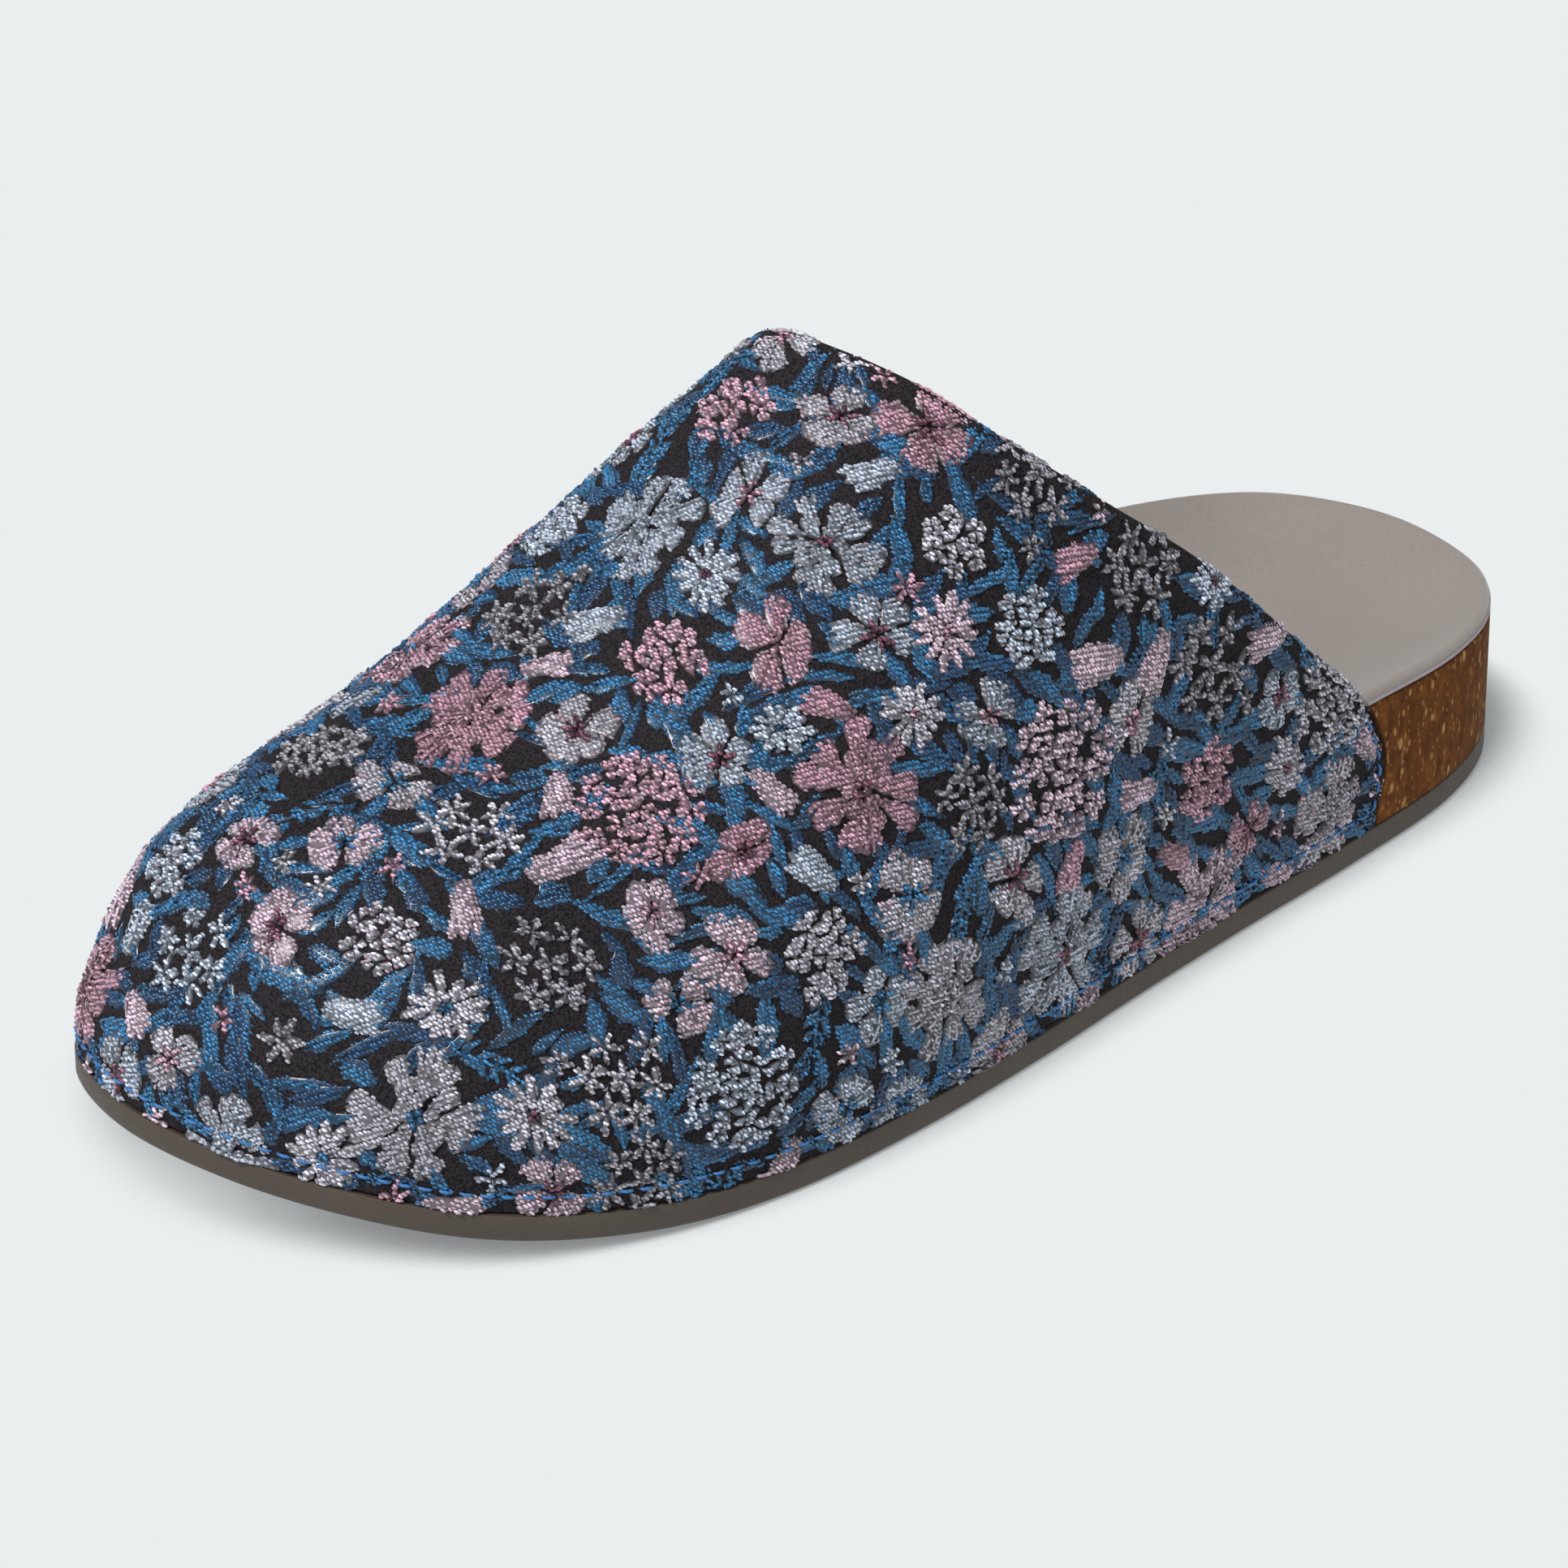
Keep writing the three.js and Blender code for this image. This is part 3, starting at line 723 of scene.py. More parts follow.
class MULE_OT_insole(bpy.types.Operator):
    """Build the suede insole with its rounded edge"""

    bl_idname = "mule.insole"
    bl_label = "Insole"

    def execute(self, context):
        size = context.scene.mule_sizes
        last = Last(size)

        def under(y, ring, foot, spine):
            return last.footbed(y, ring, foot, spine) + size.clearance

        def over(y, ring, foot, spine):
            return under(y, ring, foot, spine) + size.insole

        soft = SOFT_EDGE
        rim = [
            (0.2 * MM, 0, 0), (0, 0.25 * MM, 0), (0, -soft, 1), (0.25 * soft, -0.34 * soft, 1),
            (0.6 * soft, -0.08 * soft, 1), (soft, 0, 1),
        ]
        points, faces, _ = slab(last, under, over, rim, RINGS, SOLE_STEPS)
        points, tris, _ = welded(points, faces)
        material = insole_suede(context.scene.mule_colours.suede)
        foam = cut_foam(context.scene.mule_colours.foam)
        piece = make_mesh(last, "insole_suede", points, tris, [material, foam])
        cut_for_upper(last, piece, material)
        for face in piece.data.polygons:
            face.material_index = int(abs(face.normal.z) < UPRIGHT)
        hand_over(piece, "insole_suede", "insole")
        return {"FINISHED"}


# Ground cloth: how deep it lies at the collar edge, and how far in from there it has come down to its depth
EDGE_DEPTH = 0.1 * MM
EDGE_SLOPE = 5 * MM


class Skin:
    """Ground cloth of the upper: outer face, inner face and the rounded collar edge, where it is flush."""

    def __init__(self, last, thread):
        radius = (last.size.wall - EDGE_DEPTH) / 2
        self.grid = last.upper(np.linspace(0, 1, 64), 80, 120, growth=-radius)
        self.points, self.tris, index = welded(self.grid.reshape(-1, 3), grid_faces(*self.grid.shape[:2]))
        self.normals = normals_of(self.points, self.tris)
        on_hem = self.points[:, 2] < last.hem(self.points[:, 1]) + MM / 100
        self.normals[on_hem, 2] = 0
        self.normals /= np.linalg.norm(self.normals, axis=1, keepdims=True)
        self.index = index.reshape(self.grid.shape[:2])
        edge = np.concatenate([self.index[:, 0], self.index[::-1, -1][1:]])
        from_edge = np.linalg.norm(self.points[:, None] - self.points[edge][None], axis=2).min(axis=1)
        depth = mix(EDGE_DEPTH, thread.ground, smooth(from_edge, 0, EDGE_SLOPE))
        self.inner = self.points - self.normals * last.size.wall
        self.points -= self.normals * depth[:, None]
        outward = self.normals[edge]
        away = np.cross(np.gradient(self.points[edge], axis=0), outward)
        away *= np.sign(away[:, 1].mean()) / np.linalg.norm(away, axis=1, keepdims=True)
        self.collar_edge = self.points[edge]
        self.extra = []
        strips = [edge]
        for k, turn in enumerate(np.linspace(0, math.pi, 11)[1:-1]):
            lean = math.cos(turn) * outward + math.sin(turn) * away
            self.extra.append(self.points[edge] + radius * (lean - outward))
            strips.append(2 * len(self.points) + k * len(edge) + np.arange(len(edge)))
        strips.append(edge + len(self.points))
        self.rim = [
            np.vstack([np.column_stack([a[:-1], a[1:], b[1:]]), np.column_stack([a[:-1], b[1:], b[:-1]])])
            for a, b in zip(strips, strips[1:])
        ]

    def all_points(self):
        return np.concatenate([self.points, self.inner, *self.extra])


class MULE_OT_upper(bpy.types.Operator):
    """Build the upper's ground cloth and lining, with a rounded collar edge"""

    bl_idname = "mule.upper"
    bl_label = "Upper"

    def execute(self, context):
        last = Last(context.scene.mule_sizes)
        skin = Skin(last, context.scene.mule_threads)
        count, hem = len(skin.points), skin.index[0]
        below = [
            np.column_stack([hem[1:], hem[:-1], hem[:-1] + count]),
            np.column_stack([hem[1:], hem[:-1] + count, hem[1:] + count]),
        ]
        faces = np.concatenate([skin.tris, skin.tris[:, ::-1] + count, *skin.rim, *below])
        lined = np.zeros(len(faces), dtype=int)
        lined[len(skin.tris):2 * len(skin.tris)] = 1
        colours = context.scene.mule_colours
        cloths = [brocade_ground(colours.ground), lining_cloth(colours.lining)]
        piece = make_mesh(
            last, "upper_ground", skin.all_points(), faces, cloths, smooth_angle=60, face_material=lined
        )
        shape = bmesh.new()
        shape.from_mesh(piece.data)
        bmesh.ops.holes_fill(shape, edges=[e for e in shape.edges if e.is_boundary], sides=0)
        bmesh.ops.recalc_face_normals(shape, faces=shape.faces)
        shape.to_mesh(piece.data)
        shape.free()
        hand_over(piece, "brocade", "upper")
        return {"FINISHED"}


# Petal forms: how soon a petal widens from its base and how bluntly it ends; small numbers are blunt
FORMS = {
    "leaf": (0.85, 1.0), "blade": (0.6, 1.1), "round": (1.0, 0.42), "fan": (1.05, 0.22), "strap": (0.7, 0.4),
    "point": (0.75, 0.75), "bud": (0.5, 0.75), "disc": (0.5, 0.5),
}
# Run of the threads over the whole upper
GRAIN = Vector((0.8, 0.42, -0.43)).normalized()

# Knot of thread: six corners of its foot and two ends of its top, in its own length, width and height
KNOT_SHAPE = np.array([
    (0.5, 0, 0), (0.28, 0.5, 0), (-0.28, 0.5, 0), (-0.5, 0, 0), (-0.28, -0.5, 0), (0.28, -0.5, 0),
    (0.2, 0, 1), (-0.2, 0, 1),
])
KNOT_FACES = np.array([
    (0, 1, 6), (2, 3, 7), (3, 4, 7), (5, 0, 6), (1, 2, 7), (1, 7, 6), (4, 5, 6), (4, 6, 7),
])

# Rows of knots: shift from row to row, scatter, share left out and share of rim knots in the rim's colour
ROW_SHIFT = 0.41
SCATTER = 0.36
SKIPPED = 0.05
RIM_SHARE = 0.85

# Tones: a painted highlight on the top of a knot, painted shade at its foot and on the petal under it
KNOT_TOP_PAINTED_HIGHLIGHT = 1.45
KNOT_FOOT_PAINTED_SHADE = 0.24
UNDER_KNOTS_PAINTED_SHADE = 0.18

# How deep petals are sunk into the cloth, and how flat the seam and the collar edge press them
SUNK = 0.12 * MM
FLAT_AT_SEAM = 0.3
FLAT_AT_COLLAR = 0.15
SEAM_PRESS = (0.5 * MM, 1.8 * MM)
COLLAR_PRESS = 3 * MM
KNOT_PRESS = 2 * MM


def inside_polygon(points, polygon):
    """Which points lie inside a closed polygon."""
    x, y = points[:, 0:1], points[:, 1:2]
    (ax, ay), (bx, by) = polygon.T, np.roll(polygon, -1, axis=0).T
    crosses = (ay > y) != (by > y)
    level = np.where(by == ay, 1e-12, by - ay)
    return (crosses & (x < (bx - ax) * (y - ay) / level + ax)).sum(axis=1) % 2 == 1


class Embroidery:
    """Raised motifs laid on the upper, gathered by thread colour."""

    def __init__(self, last, thread):
        self.last, self.thread = last, thread
        self.random = np.random.default_rng(thread.seed)
        skin = Skin(last, thread)
        self.points, self.tris, self.normals = skin.points, skin.tris, skin.normals
        wrapped = np.concatenate([skin.tris, *skin.rim[:3]])
        self.cloth = BVHTree.FromPolygons(skin.all_points().tolist(), wrapped.tolist())
        self.collar = KDTree(len(skin.collar_edge))
        for number, place in enumerate(skin.collar_edge):
            self.collar.insert(place, number)
        self.collar.balance()
        a, b, c = (self.points[self.tris[:, k]] for k in range(3))
        self.areas = np.linalg.norm(np.cross(b - a, c - a), axis=1) / 2
        self.squeeze = np.eye(2)
        self.petals = []

    def spots(self, count):
        """Random points spread evenly over the cloth, with their normals."""
        pick = self.random.choice(len(self.tris), count, p=self.areas / self.areas.sum())
        u, v = self.random.random((2, count))
        over = u + v > 1
        u[over], v[over] = 1 - u[over], 1 - v[over]
        weights = np.column_stack([1 - u - v, u, v])[..., None]
        corners = self.tris[pick]
        return (self.points[corners] * weights).sum(axis=1), (self.normals[corners] * weights).sum(axis=1)

    def vary(self, spread):
        """A factor within spread of 1."""
        return 1 + spread * (2 * self.random.random() - 1)

    def axes(self, normal):
        """Grain direction on the cloth and the direction across it."""
        normal = Vector(normal).normalized()
        grain = (GRAIN - normal * GRAIN.dot(normal)).normalized()
        return np.array(grain), np.array(normal.cross(grain))

    def lean(self, strongest):
        """Sets the next motif as if its flower were seen a little from the side."""
        turn = self.random.random() * math.pi
        cos, sin = math.cos(turn), math.sin(turn)
        spin = np.array([(cos, -sin), (sin, cos)])
        self.squeeze = spin @ np.diag([1, mix(strongest, 1, self.random.random())]) @ spin.T

    def petal(
        self, colour, spot, normal, turn, reach, size, form, height, bend=0.0, folds=0, fold=0.5, dome=0.0,
        steps=7, rim=None,
    ):
        """Adds one petal, reach away from the motif's middle at angle turn, with folds along it that take
        painted shade.
        """
        long, wide = size
        lanes = np.linspace(-1, 1, 2 * folds + 3) if folds else np.array([-1, -0.6, 0, 0.6, 1])
        s = (1 - np.cos(np.linspace(0, math.pi, steps + 1))) / 2
        widen, blunt = FORMS[form]
        peak = widen / (widen + blunt)
        half = s ** widen * (1 - s) ** blunt / (peak ** widen * (1 - peak) ** blunt) * wide / 2
        rough = 1 + 0.4 * (self.random.random((len(s), 2)) - 0.5)
        sides = np.where(lanes[None, :] < 0, rough[:, :1], rough[:, 1:])
        waves = np.abs(np.sin(math.pi * (folds + 1) * (lanes + 1) / 2)) ** 0.7
        deep = fold * s[:, None] ** 0.4 if folds > 1 else fold
        crease = 1 - deep * (1 - waves[None, :]) if folds else np.ones((1, len(lanes)))
        scallop = 0.1 * long * (waves[None, :] - 0.6) * s[:, None] ** 4 if folds > 1 else 0
        x = reach + long * s[:, None] + scallop + np.zeros(len(lanes))
        y = half[:, None] * lanes[None, :] * sides + bend * long * (s * s)[:, None]
        a = x * math.cos(turn) - y * math.sin(turn)
        b = x * math.sin(turn) + y * math.cos(turn)
        (aa, ab), (ba, bb) = self.squeeze
        a, b = aa * a + ab * b, ba * a + bb * b
        ends = np.clip(np.sin(math.pi * s), 0, 1)[:, None] ** 0.35
        uneven = 1 + 0.16 * (self.random.random(y.shape) - 0.5)
        puff = (1 - np.abs(lanes[None, :]) ** 4) * ends * crease * uneven
        # Painted shade where the petal is low: in its folds, along its edges and at its ends; besides, darker
        # towards its base, and a random tone for each petal
        tone = (0.3 + 0.75 * puff) * mix(0.6, 1.0, s[:, None] ** 0.6) * self.vary(0.15)
        at_rim = (np.abs((lanes[1:] + lanes[:-1]) / 2) > 0.7)[None, :] | ((s[1:] + s[:-1]) / 2 > 0.8)[:, None]
        rise = height * puff + dome * ends
        self.petals.append((colour, spot, normal, a, b, rise, tone, at_rim, rim or colour))

    def ring(self, colour, spot, normal, count, start, reach, size, form, height, jitter=0.3, **more):
        """Adds petals round a motif's middle."""
        for k in range(count):
            turn = start + 2 * math.pi * (k + jitter * (self.random.random() - 0.5)) / count
            scaled = (size[0] * self.vary(0.2), size[1] * self.vary(0.2))
            self.petal(colour, spot, normal, turn, reach, scaled, form, height * self.vary(0.1), **more)

    def lay(self):
        """Lays every petal on the cloth, then fills each that shows with knots of thread."""
        points, faces, owner, shade, outlines, at_rim = [], [], [], [], [], []
        start, thread = 0, self.thread
        for number, (colour, spot, normal, a, b, rise, tone, rimmed, _) in enumerate(self.petals):
            grain, across = self.axes(normal)
            flat = spot + a[..., None] * grain + b[..., None] * across
            near = [self.cloth.find_nearest(place)[:2] for place in flat.reshape(-1, 3)]
            down = np.array([place for place, _ in near])
            facing = np.array([face for _, face in near])
            over_hem = down[:, 2] - self.last.hem(down[:, 1])
            from_collar = np.array([self.collar.find(place)[2] for place in down])
            sewn = np.where(over_hem < self.last.size.cork, np.abs(from_collar - thread.inset), 1)
            from_seam = np.minimum(np.abs(over_hem - thread.seam), sewn)
            pressed = mix(FLAT_AT_SEAM, 1, smooth(from_seam, *SEAM_PRESS))
            pressed = pressed * mix(FLAT_AT_COLLAR, 1, smooth(from_collar, 0, COLLAR_PRESS))
            points.append(down + facing * (rise.reshape(-1) * pressed - SUNK)[:, None])
            faces.append(grid_faces(*a.shape) + start)
            owner.append(np.full(len(faces[-1]), number))
            shade.append(tone.reshape(-1))
            at_rim.append(rimmed.reshape(-1))
            outlines.append(np.column_stack([
                np.concatenate([a[:, 0], a[::-1, -1]]), np.concatenate([b[:, 0], b[::-1, -1]])
            ]))
            start += a.size
        points, faces = np.concatenate(points), np.concatenate(faces)
        owner, shade, at_rim = np.concatenate(owner), np.concatenate(shade), np.concatenate(at_rim)
        relief = BVHTree.FromPolygons(points.tolist(), faces.tolist())
        knots = {}
        pitch = np.array([thread.knot, thread.thread])
        for number, (colour, spot, normal, *_, rim) in enumerate(self.petals):
            grain, across = self.axes(normal)
            outline = outlines[number]
            low, high = np.floor(outline.min(axis=0) / pitch), np.ceil(outline.max(axis=0) / pitch)
            i, j = np.meshgrid(np.arange(low[0], high[0] + 1), np.arange(low[1], high[1] + 1))
            lattice = np.column_stack([(i + ROW_SHIFT * j % 1).ravel(), j.ravel()]) * pitch
            lattice += pitch * SCATTER * (self.random.random(lattice.shape) - 0.5)
            lattice = lattice[inside_polygon(lattice, outline)]
            for a, b in lattice:
                near, facing, _, _ = self.cloth.find_nearest(spot + a * grain + b * across)
                hit, up, face, _ = relief.ray_cast(near + facing * 4 * MM, -facing)
                if hit is None or owner[face] != number or self.random.random() < SKIPPED:
                    continue
                if up.dot(facing) < 0:
                    up = -up
                # A knot takes the painted shade of the petal under it, times a random tone
                tone = shade[faces[face]].mean() * mix(0.6, 1.25, self.random.random())
                stand = mix(FLAT_AT_SEAM, 1, smooth(self.collar.find(hit)[2], 0, KNOT_PRESS))
                thread_colour = rim if at_rim[face] and self.random.random() < RIM_SHARE else colour
                knots.setdefault(thread_colour, []).append(
                    (*hit, *up, tone, self.vary(0.16), stand, 0.25 * (self.vary(1) - 1))
                )
        self.laid = points, faces, owner, shade, knots

    def mesh(self, colour):
        """Points, triangles and tones of one colour: its petals and the knots on them."""
        points, faces, owner, shade, knots = self.laid
        chosen = np.array([petal[0] == colour for petal in self.petals])[owner]
        used, corners = np.unique(faces[chosen], return_inverse=True)
        corners = corners.reshape(-1, 4)
        tris = [corners[:, [0, 1, 2]], corners[:, [0, 2, 3]]]
        rows = np.array(knots[colour])
        middle, up, twist = rows[:, :3], rows[:, 3:6], rows[:, 9:]
        tone, wide, stand = rows[:, 6:9].T
        along_grain = np.array(GRAIN) - up * (up @ np.array(GRAIN))[:, None]
        along_grain /= np.linalg.norm(along_grain, axis=1, keepdims=True)
        along_grain = along_grain * np.cos(twist) + np.cross(up, along_grain) * np.sin(twist)
        across = np.cross(up, along_grain)
        shape = KNOT_SHAPE * np.array([self.thread.knot * 1.04, self.thread.thread, self.thread.lump])
        shape[:, 2] -= 0.03 * MM
        raised = (
            middle[:, None] + wide[:, None, None] * (shape[None, :, :1] * along_grain[:, None]
            + shape[None, :, 1:2] * across[:, None]) + stand[:, None, None] * shape[None, :, 2:] * up[:, None]
        ).reshape(-1, 3)
        # A painted highlight on each knot's top and painted shade at its foot
        tones = tone[:, None] * np.where(KNOT_SHAPE[:, 2] > 0, KNOT_TOP_PAINTED_HIGHLIGHT, KNOT_FOOT_PAINTED_SHADE)[None, :]
        offsets = len(used) + 8 * np.arange(len(rows))[:, None, None]
        tris.append((KNOT_FACES[None] + offsets).reshape(-1, 3))
        # The petals under the knots take painted shade, so the gaps between knots look deep
        return (
            np.concatenate([points[used], raised]), np.concatenate(tris),
            np.concatenate([UNDER_KNOTS_PAINTED_SHADE * shade[used], tones.reshape(-1)]),
        )

    def choose(self, options):
        """One of several colours, by their weights."""
        names, weights = zip(*options)
        return names[self.random.choice(len(names), p=np.array(weights) / sum(weights))]


# Thread that the rims of petals are sewn in, by the petals' own colour
RIMS = {
    "sky": (("stone", 3), ("sky", 2)), "stone": (("stone", 3), ("lilac", 1)),
    "lilac": (("lilac", 2), ("stone", 1)), "rose": (("rose", 2), ("lilac", 2)),
}


def rosette(work, spot, normal, radius, colour, relief):
    """Double flower of three rings of ruffled petals."""
    spin = work.random.random() * math.pi
    rim = work.choose(RIMS[colour])
    rings = ((0.3, 0.68, 0.5, 9, 0), (0.14, 0.5, 0.42, 7, 0.35), (0.02, 0.34, 0.3, 5, 0.7))
    for reach, long, wide, count, dome in rings:
        size = (radius * long, radius * wide)
        work.ring(
            colour, spot, normal, count, spin + 5 * reach, radius * reach, size, "fan", relief, jitter=0.6,
            folds=2, fold=0.8, dome=relief * dome, steps=6, rim=rim,
        )
    accent = work.choose((("plum", 2), ("blue", 2), (colour, 2)))
    size = (radius * 0.17, radius * 0.14)
    work.ring(accent, spot, normal, 4, spin, 0, size, "disc", relief, dome=relief, steps=4)


def blossom(work, spot, normal, radius, colour, relief):
    """Five broad folded petals round a throat."""
    spin = work.random.random() * math.pi
    form = "round" if work.random.random() < 0.5 else "fan"
    work.ring(
        colour, spot, normal, 5, spin, radius * 0.06, (radius * 0.94, radius * 0.9), form, relief, jitter=0.5,
        folds=3, fold=0.7, steps=8, rim=work.choose(RIMS[colour]),
    )
    throat = work.choose((("plum", 2), ("rose", 3), ("blue", 1)))
    work.ring(
        throat, spot, normal, 5, spin, radius * 0.02, (radius * 0.42, radius * 0.17), "point", relief * 0.8,
        dome=relief * 0.45, steps=5,
    )


def daisy(work, spot, normal, radius, colour, relief):
    """Two rings of narrow petals round a button."""
    spin = work.random.random() * math.pi
    size = (radius * 0.8, radius * 0.34)
    work.ring(colour, spot, normal, 12, spin, radius * 0.2, size, "strap", relief, steps=6)
    size = (radius * 0.45, radius * 0.26)
    work.ring(
        colour, spot, normal, 8, spin + 0.2, radius * 0.1, size, "strap", relief * 0.8, dome=relief * 0.35,
        steps=5,
    )
    centre = work.choose((("rose", 2), ("blue", 2), ("plum", 2)))
    size = (radius * 0.18, radius * 0.18)
    work.ring(centre, spot, normal, 4, spin, 0, size, "disc", relief, dome=relief * 0.6, steps=4)


def star(work, spot, normal, radius, colour, relief):
    """Small flower of five or six pointed petals."""
    count = 5 + (work.random.random() < 0.4)
    work.ring(
        colour, spot, normal, count, work.random.random() * math.pi, radius * 0.02,
        (radius * 0.98, radius * 0.4), "point", relief * 0.9, bend=0.15 * (work.vary(1) - 1), steps=5,
    )


def scatter(work, spot, normal, places, build):
    """Builds small motifs at places round a spot, given as shares of grain and cross directions in metres."""
    grain, across = work.axes(normal)
    for a, b in places:
        near, facing, _, _ = work.cloth.find_nearest(Vector(spot + a * grain + b * across))
        build(np.array(near), np.array(facing))


def discs(work, radius, spacing):
    """Loose rings of places that fill a disc, spacing apart."""
    places = [(0, 0)]
    for ring in range(1, int(radius / spacing) + 1):
        count = int(6 * ring)
        offset = work.random.random()
        for k in range(count):
            turn = 2 * math.pi * (k + offset + 0.35 * (work.random.random() - 0.5)) / count
            reach = ring * spacing * work.vary(0.08)
            places.append((reach * math.cos(turn), reach * math.sin(turn)))
    return places


def cluster(work, spot, normal, radius, colour, relief):
    """Round head of crowded small florets."""
    floret = 2.5 * MM * work.vary(0.12)
    rim = work.choose(RIMS[colour])

    def build(place, facing):
        work.ring(
            colour, place, facing, 5, work.random.random() * 3, floret * 0.04, (floret, floret * 0.85), "fan",
            relief * 0.7, steps=5, dome=relief * 0.3 * work.random.random(), rim=rim,
        )

    scatter(work, spot, normal, discs(work, radius - 0.6 * floret, 1.75 * floret), build)


def spray(work, spot, normal, radius, colour, relief):
    """Loose patch of small stars."""
    small = 3.5 * MM * work.vary(0.12)
    scatter(
        work, spot, normal, discs(work, radius - 0.7 * small, 1.6 * small),
        lambda place, facing: star(work, place, facing, small * work.vary(0.15), colour, relief),
    )


def frond(work, spot, normal, radius, colour, relief):
    """Curved stem with pairs of leaflets."""
    turn, bend = work.random.random() * 2 * math.pi, 0.5 * (work.vary(1) - 1)
    long = 2 * radius
    work.petal(colour, spot, normal, turn, -radius, (long, 0.9 * MM), "blade", 0.5 * relief, bend=bend)
    grain, across = work.axes(normal)
    for share in (0.12, 0.3, 0.48, 0.66, 0.84):
        a, b = -radius + long * share, bend * long * share * share
        cos, sin = math.cos(turn), math.sin(turn)
        place = spot + (a * cos - b * sin) * grain + (a * sin + b * cos) * across
        near, facing, _, _ = work.cloth.find_nearest(Vector(place))
        ahead = turn + math.atan(2 * bend * share)
        leaf = (1 - 0.4 * share) * 0.62 * radius * work.vary(0.15)
        for side in (-1, 1):
            work.petal(
                colour, np.array(near), np.array(facing), ahead + side * work.vary(0.2) * 0.85, 0.1 * MM,
                (leaf, leaf * 0.42), "leaf", 0.62 * relief, bend=-0.25 * side, folds=1, fold=0.5, steps=6,
            )


def bud(work, spot, normal, radius, colour, relief):
    """Closed cup of long petals on a leafy base."""
    turn = work.random.random() * 2 * math.pi
    reach = -radius * 0.85
    for lean in (-0.5, 0.5):
        work.petal(
            "blue", spot, normal, turn + lean, reach * 1.2, (radius * 1.2, radius * 0.4), "leaf",
            relief * 0.7, bend=lean * 0.5, folds=1,
        )
    for lean, bend in ((-0.2, -0.12), (0.2, 0.12), (0.0, 0.0)):
        work.petal(
            colour, spot, normal, turn + lean, reach, (radius * 1.85, radius * 0.74), "bud",
            relief * (1.1 - abs(lean)), bend=bend, folds=1, fold=0.4, dome=relief * (0.3 if not lean else 0),
        )


# Motifs: builder, spots tried, smallest and largest radius, room that each takes, colours and most wanted
LAYOUT = (
    (rosette, 900, 9 * MM, 11.5 * MM, 0.97, (("rose", 3), ("stone", 3), ("sky", 3), ("lilac", 1)), 20),
    (cluster, 900, 8.5 * MM, 12 * MM, 0.95, (("sky", 3), ("stone", 4), ("rose", 3), ("lilac", 1)), 22),
    (spray, 900, 8 * MM, 11 * MM, 0.93, (("pebble", 4), ("stone", 1), ("sky", 2)), 16),
    (blossom, 2500, 5.5 * MM, 8.2 * MM, 0.88, (("sky", 4), ("lilac", 3), ("stone", 3), ("rose", 1)), 70),
    (daisy, 2500, 5 * MM, 7 * MM, 0.88, (("stone", 3), ("sky", 3), ("lilac", 1)), 34),
    (bud, 2500, 5 * MM, 8 * MM, 0.78, (("rose", 3), ("lilac", 3), ("sky", 1)), 46),
    (frond, 3000, 6 * MM, 8.5 * MM, 0.72, (("blue", 1),), 60),
    (
        star, 9000, 2.4 * MM, 3.8 * MM, 0.9,
        (("pebble", 3), ("stone", 2), ("sky", 3), ("lilac", 2), ("rose", 3)), 500,
    ),
)
# Leaves: spots tried and least distance between their middles
LEAF_TRIES = 9000
LEAF_SPACING = 3.2 * MM


def scatter_flowers(work, relief):
    """Places the motifs largest first, each where it still has room; gives their middles and radii."""
    centres, radii = np.zeros((0, 3)), np.zeros(0)
    for build, tries, smallest, largest, room, options, most in LAYOUT:
        made = 0
        for spot, normal in zip(*work.spots(tries)):
            radius = mix(smallest, largest, work.random.random())
            if len(radii) and (np.linalg.norm(centres - spot, axis=1) < room * (radii + radius)).any():
                continue
            work.lean(0.72)
            build(work, spot, normal, radius, work.choose(options), relief)
            centres, radii = np.vstack([centres, spot]), np.append(radii, radius)
            made += 1
            if made == most:
                break
    return centres, radii


def scatter_leaves(work, relief, centres, radii):
    """Fills the cloth between the flowers with leaves that follow slow swirls."""
    work.squeeze = np.eye(2)
    leaves = np.zeros((0, 3))
    for spot, normal in zip(*work.spots(LEAF_TRIES)):
        if (np.linalg.norm(centres - spot, axis=1) < 0.8 * radii).any():
            continue
        if len(leaves) and (np.linalg.norm(leaves - spot, axis=1) < LEAF_SPACING).any():
            continue
        leaves = np.vstack([leaves, spot])
        flow = 2.4 * math.sin(spot[0] / (19 * MM)) + 2.0 * math.cos(spot[1] / (23 * MM) + spot[2] / (17 * MM))
        turn = flow + 1.6 * (work.random.random() - 0.5)
        long = mix(5.5 * MM, 14 * MM, work.random.random() ** 1.6)
        wide = mix(1.9 * MM, 4.2 * MM, work.random.random())
        form = "leaf" if work.random.random() < 0.6 else "blade"
        work.petal(
            work.choose((("blue", 3), ("navy", 2))), spot, normal, turn, -long / 2, (long, wide), form,
            0.6 * relief, bend=0.5 * (work.random.random() - 0.5), folds=1, fold=0.7, steps=8,
            rim=work.choose((("blue", 1), ("navy", 1))),
        )


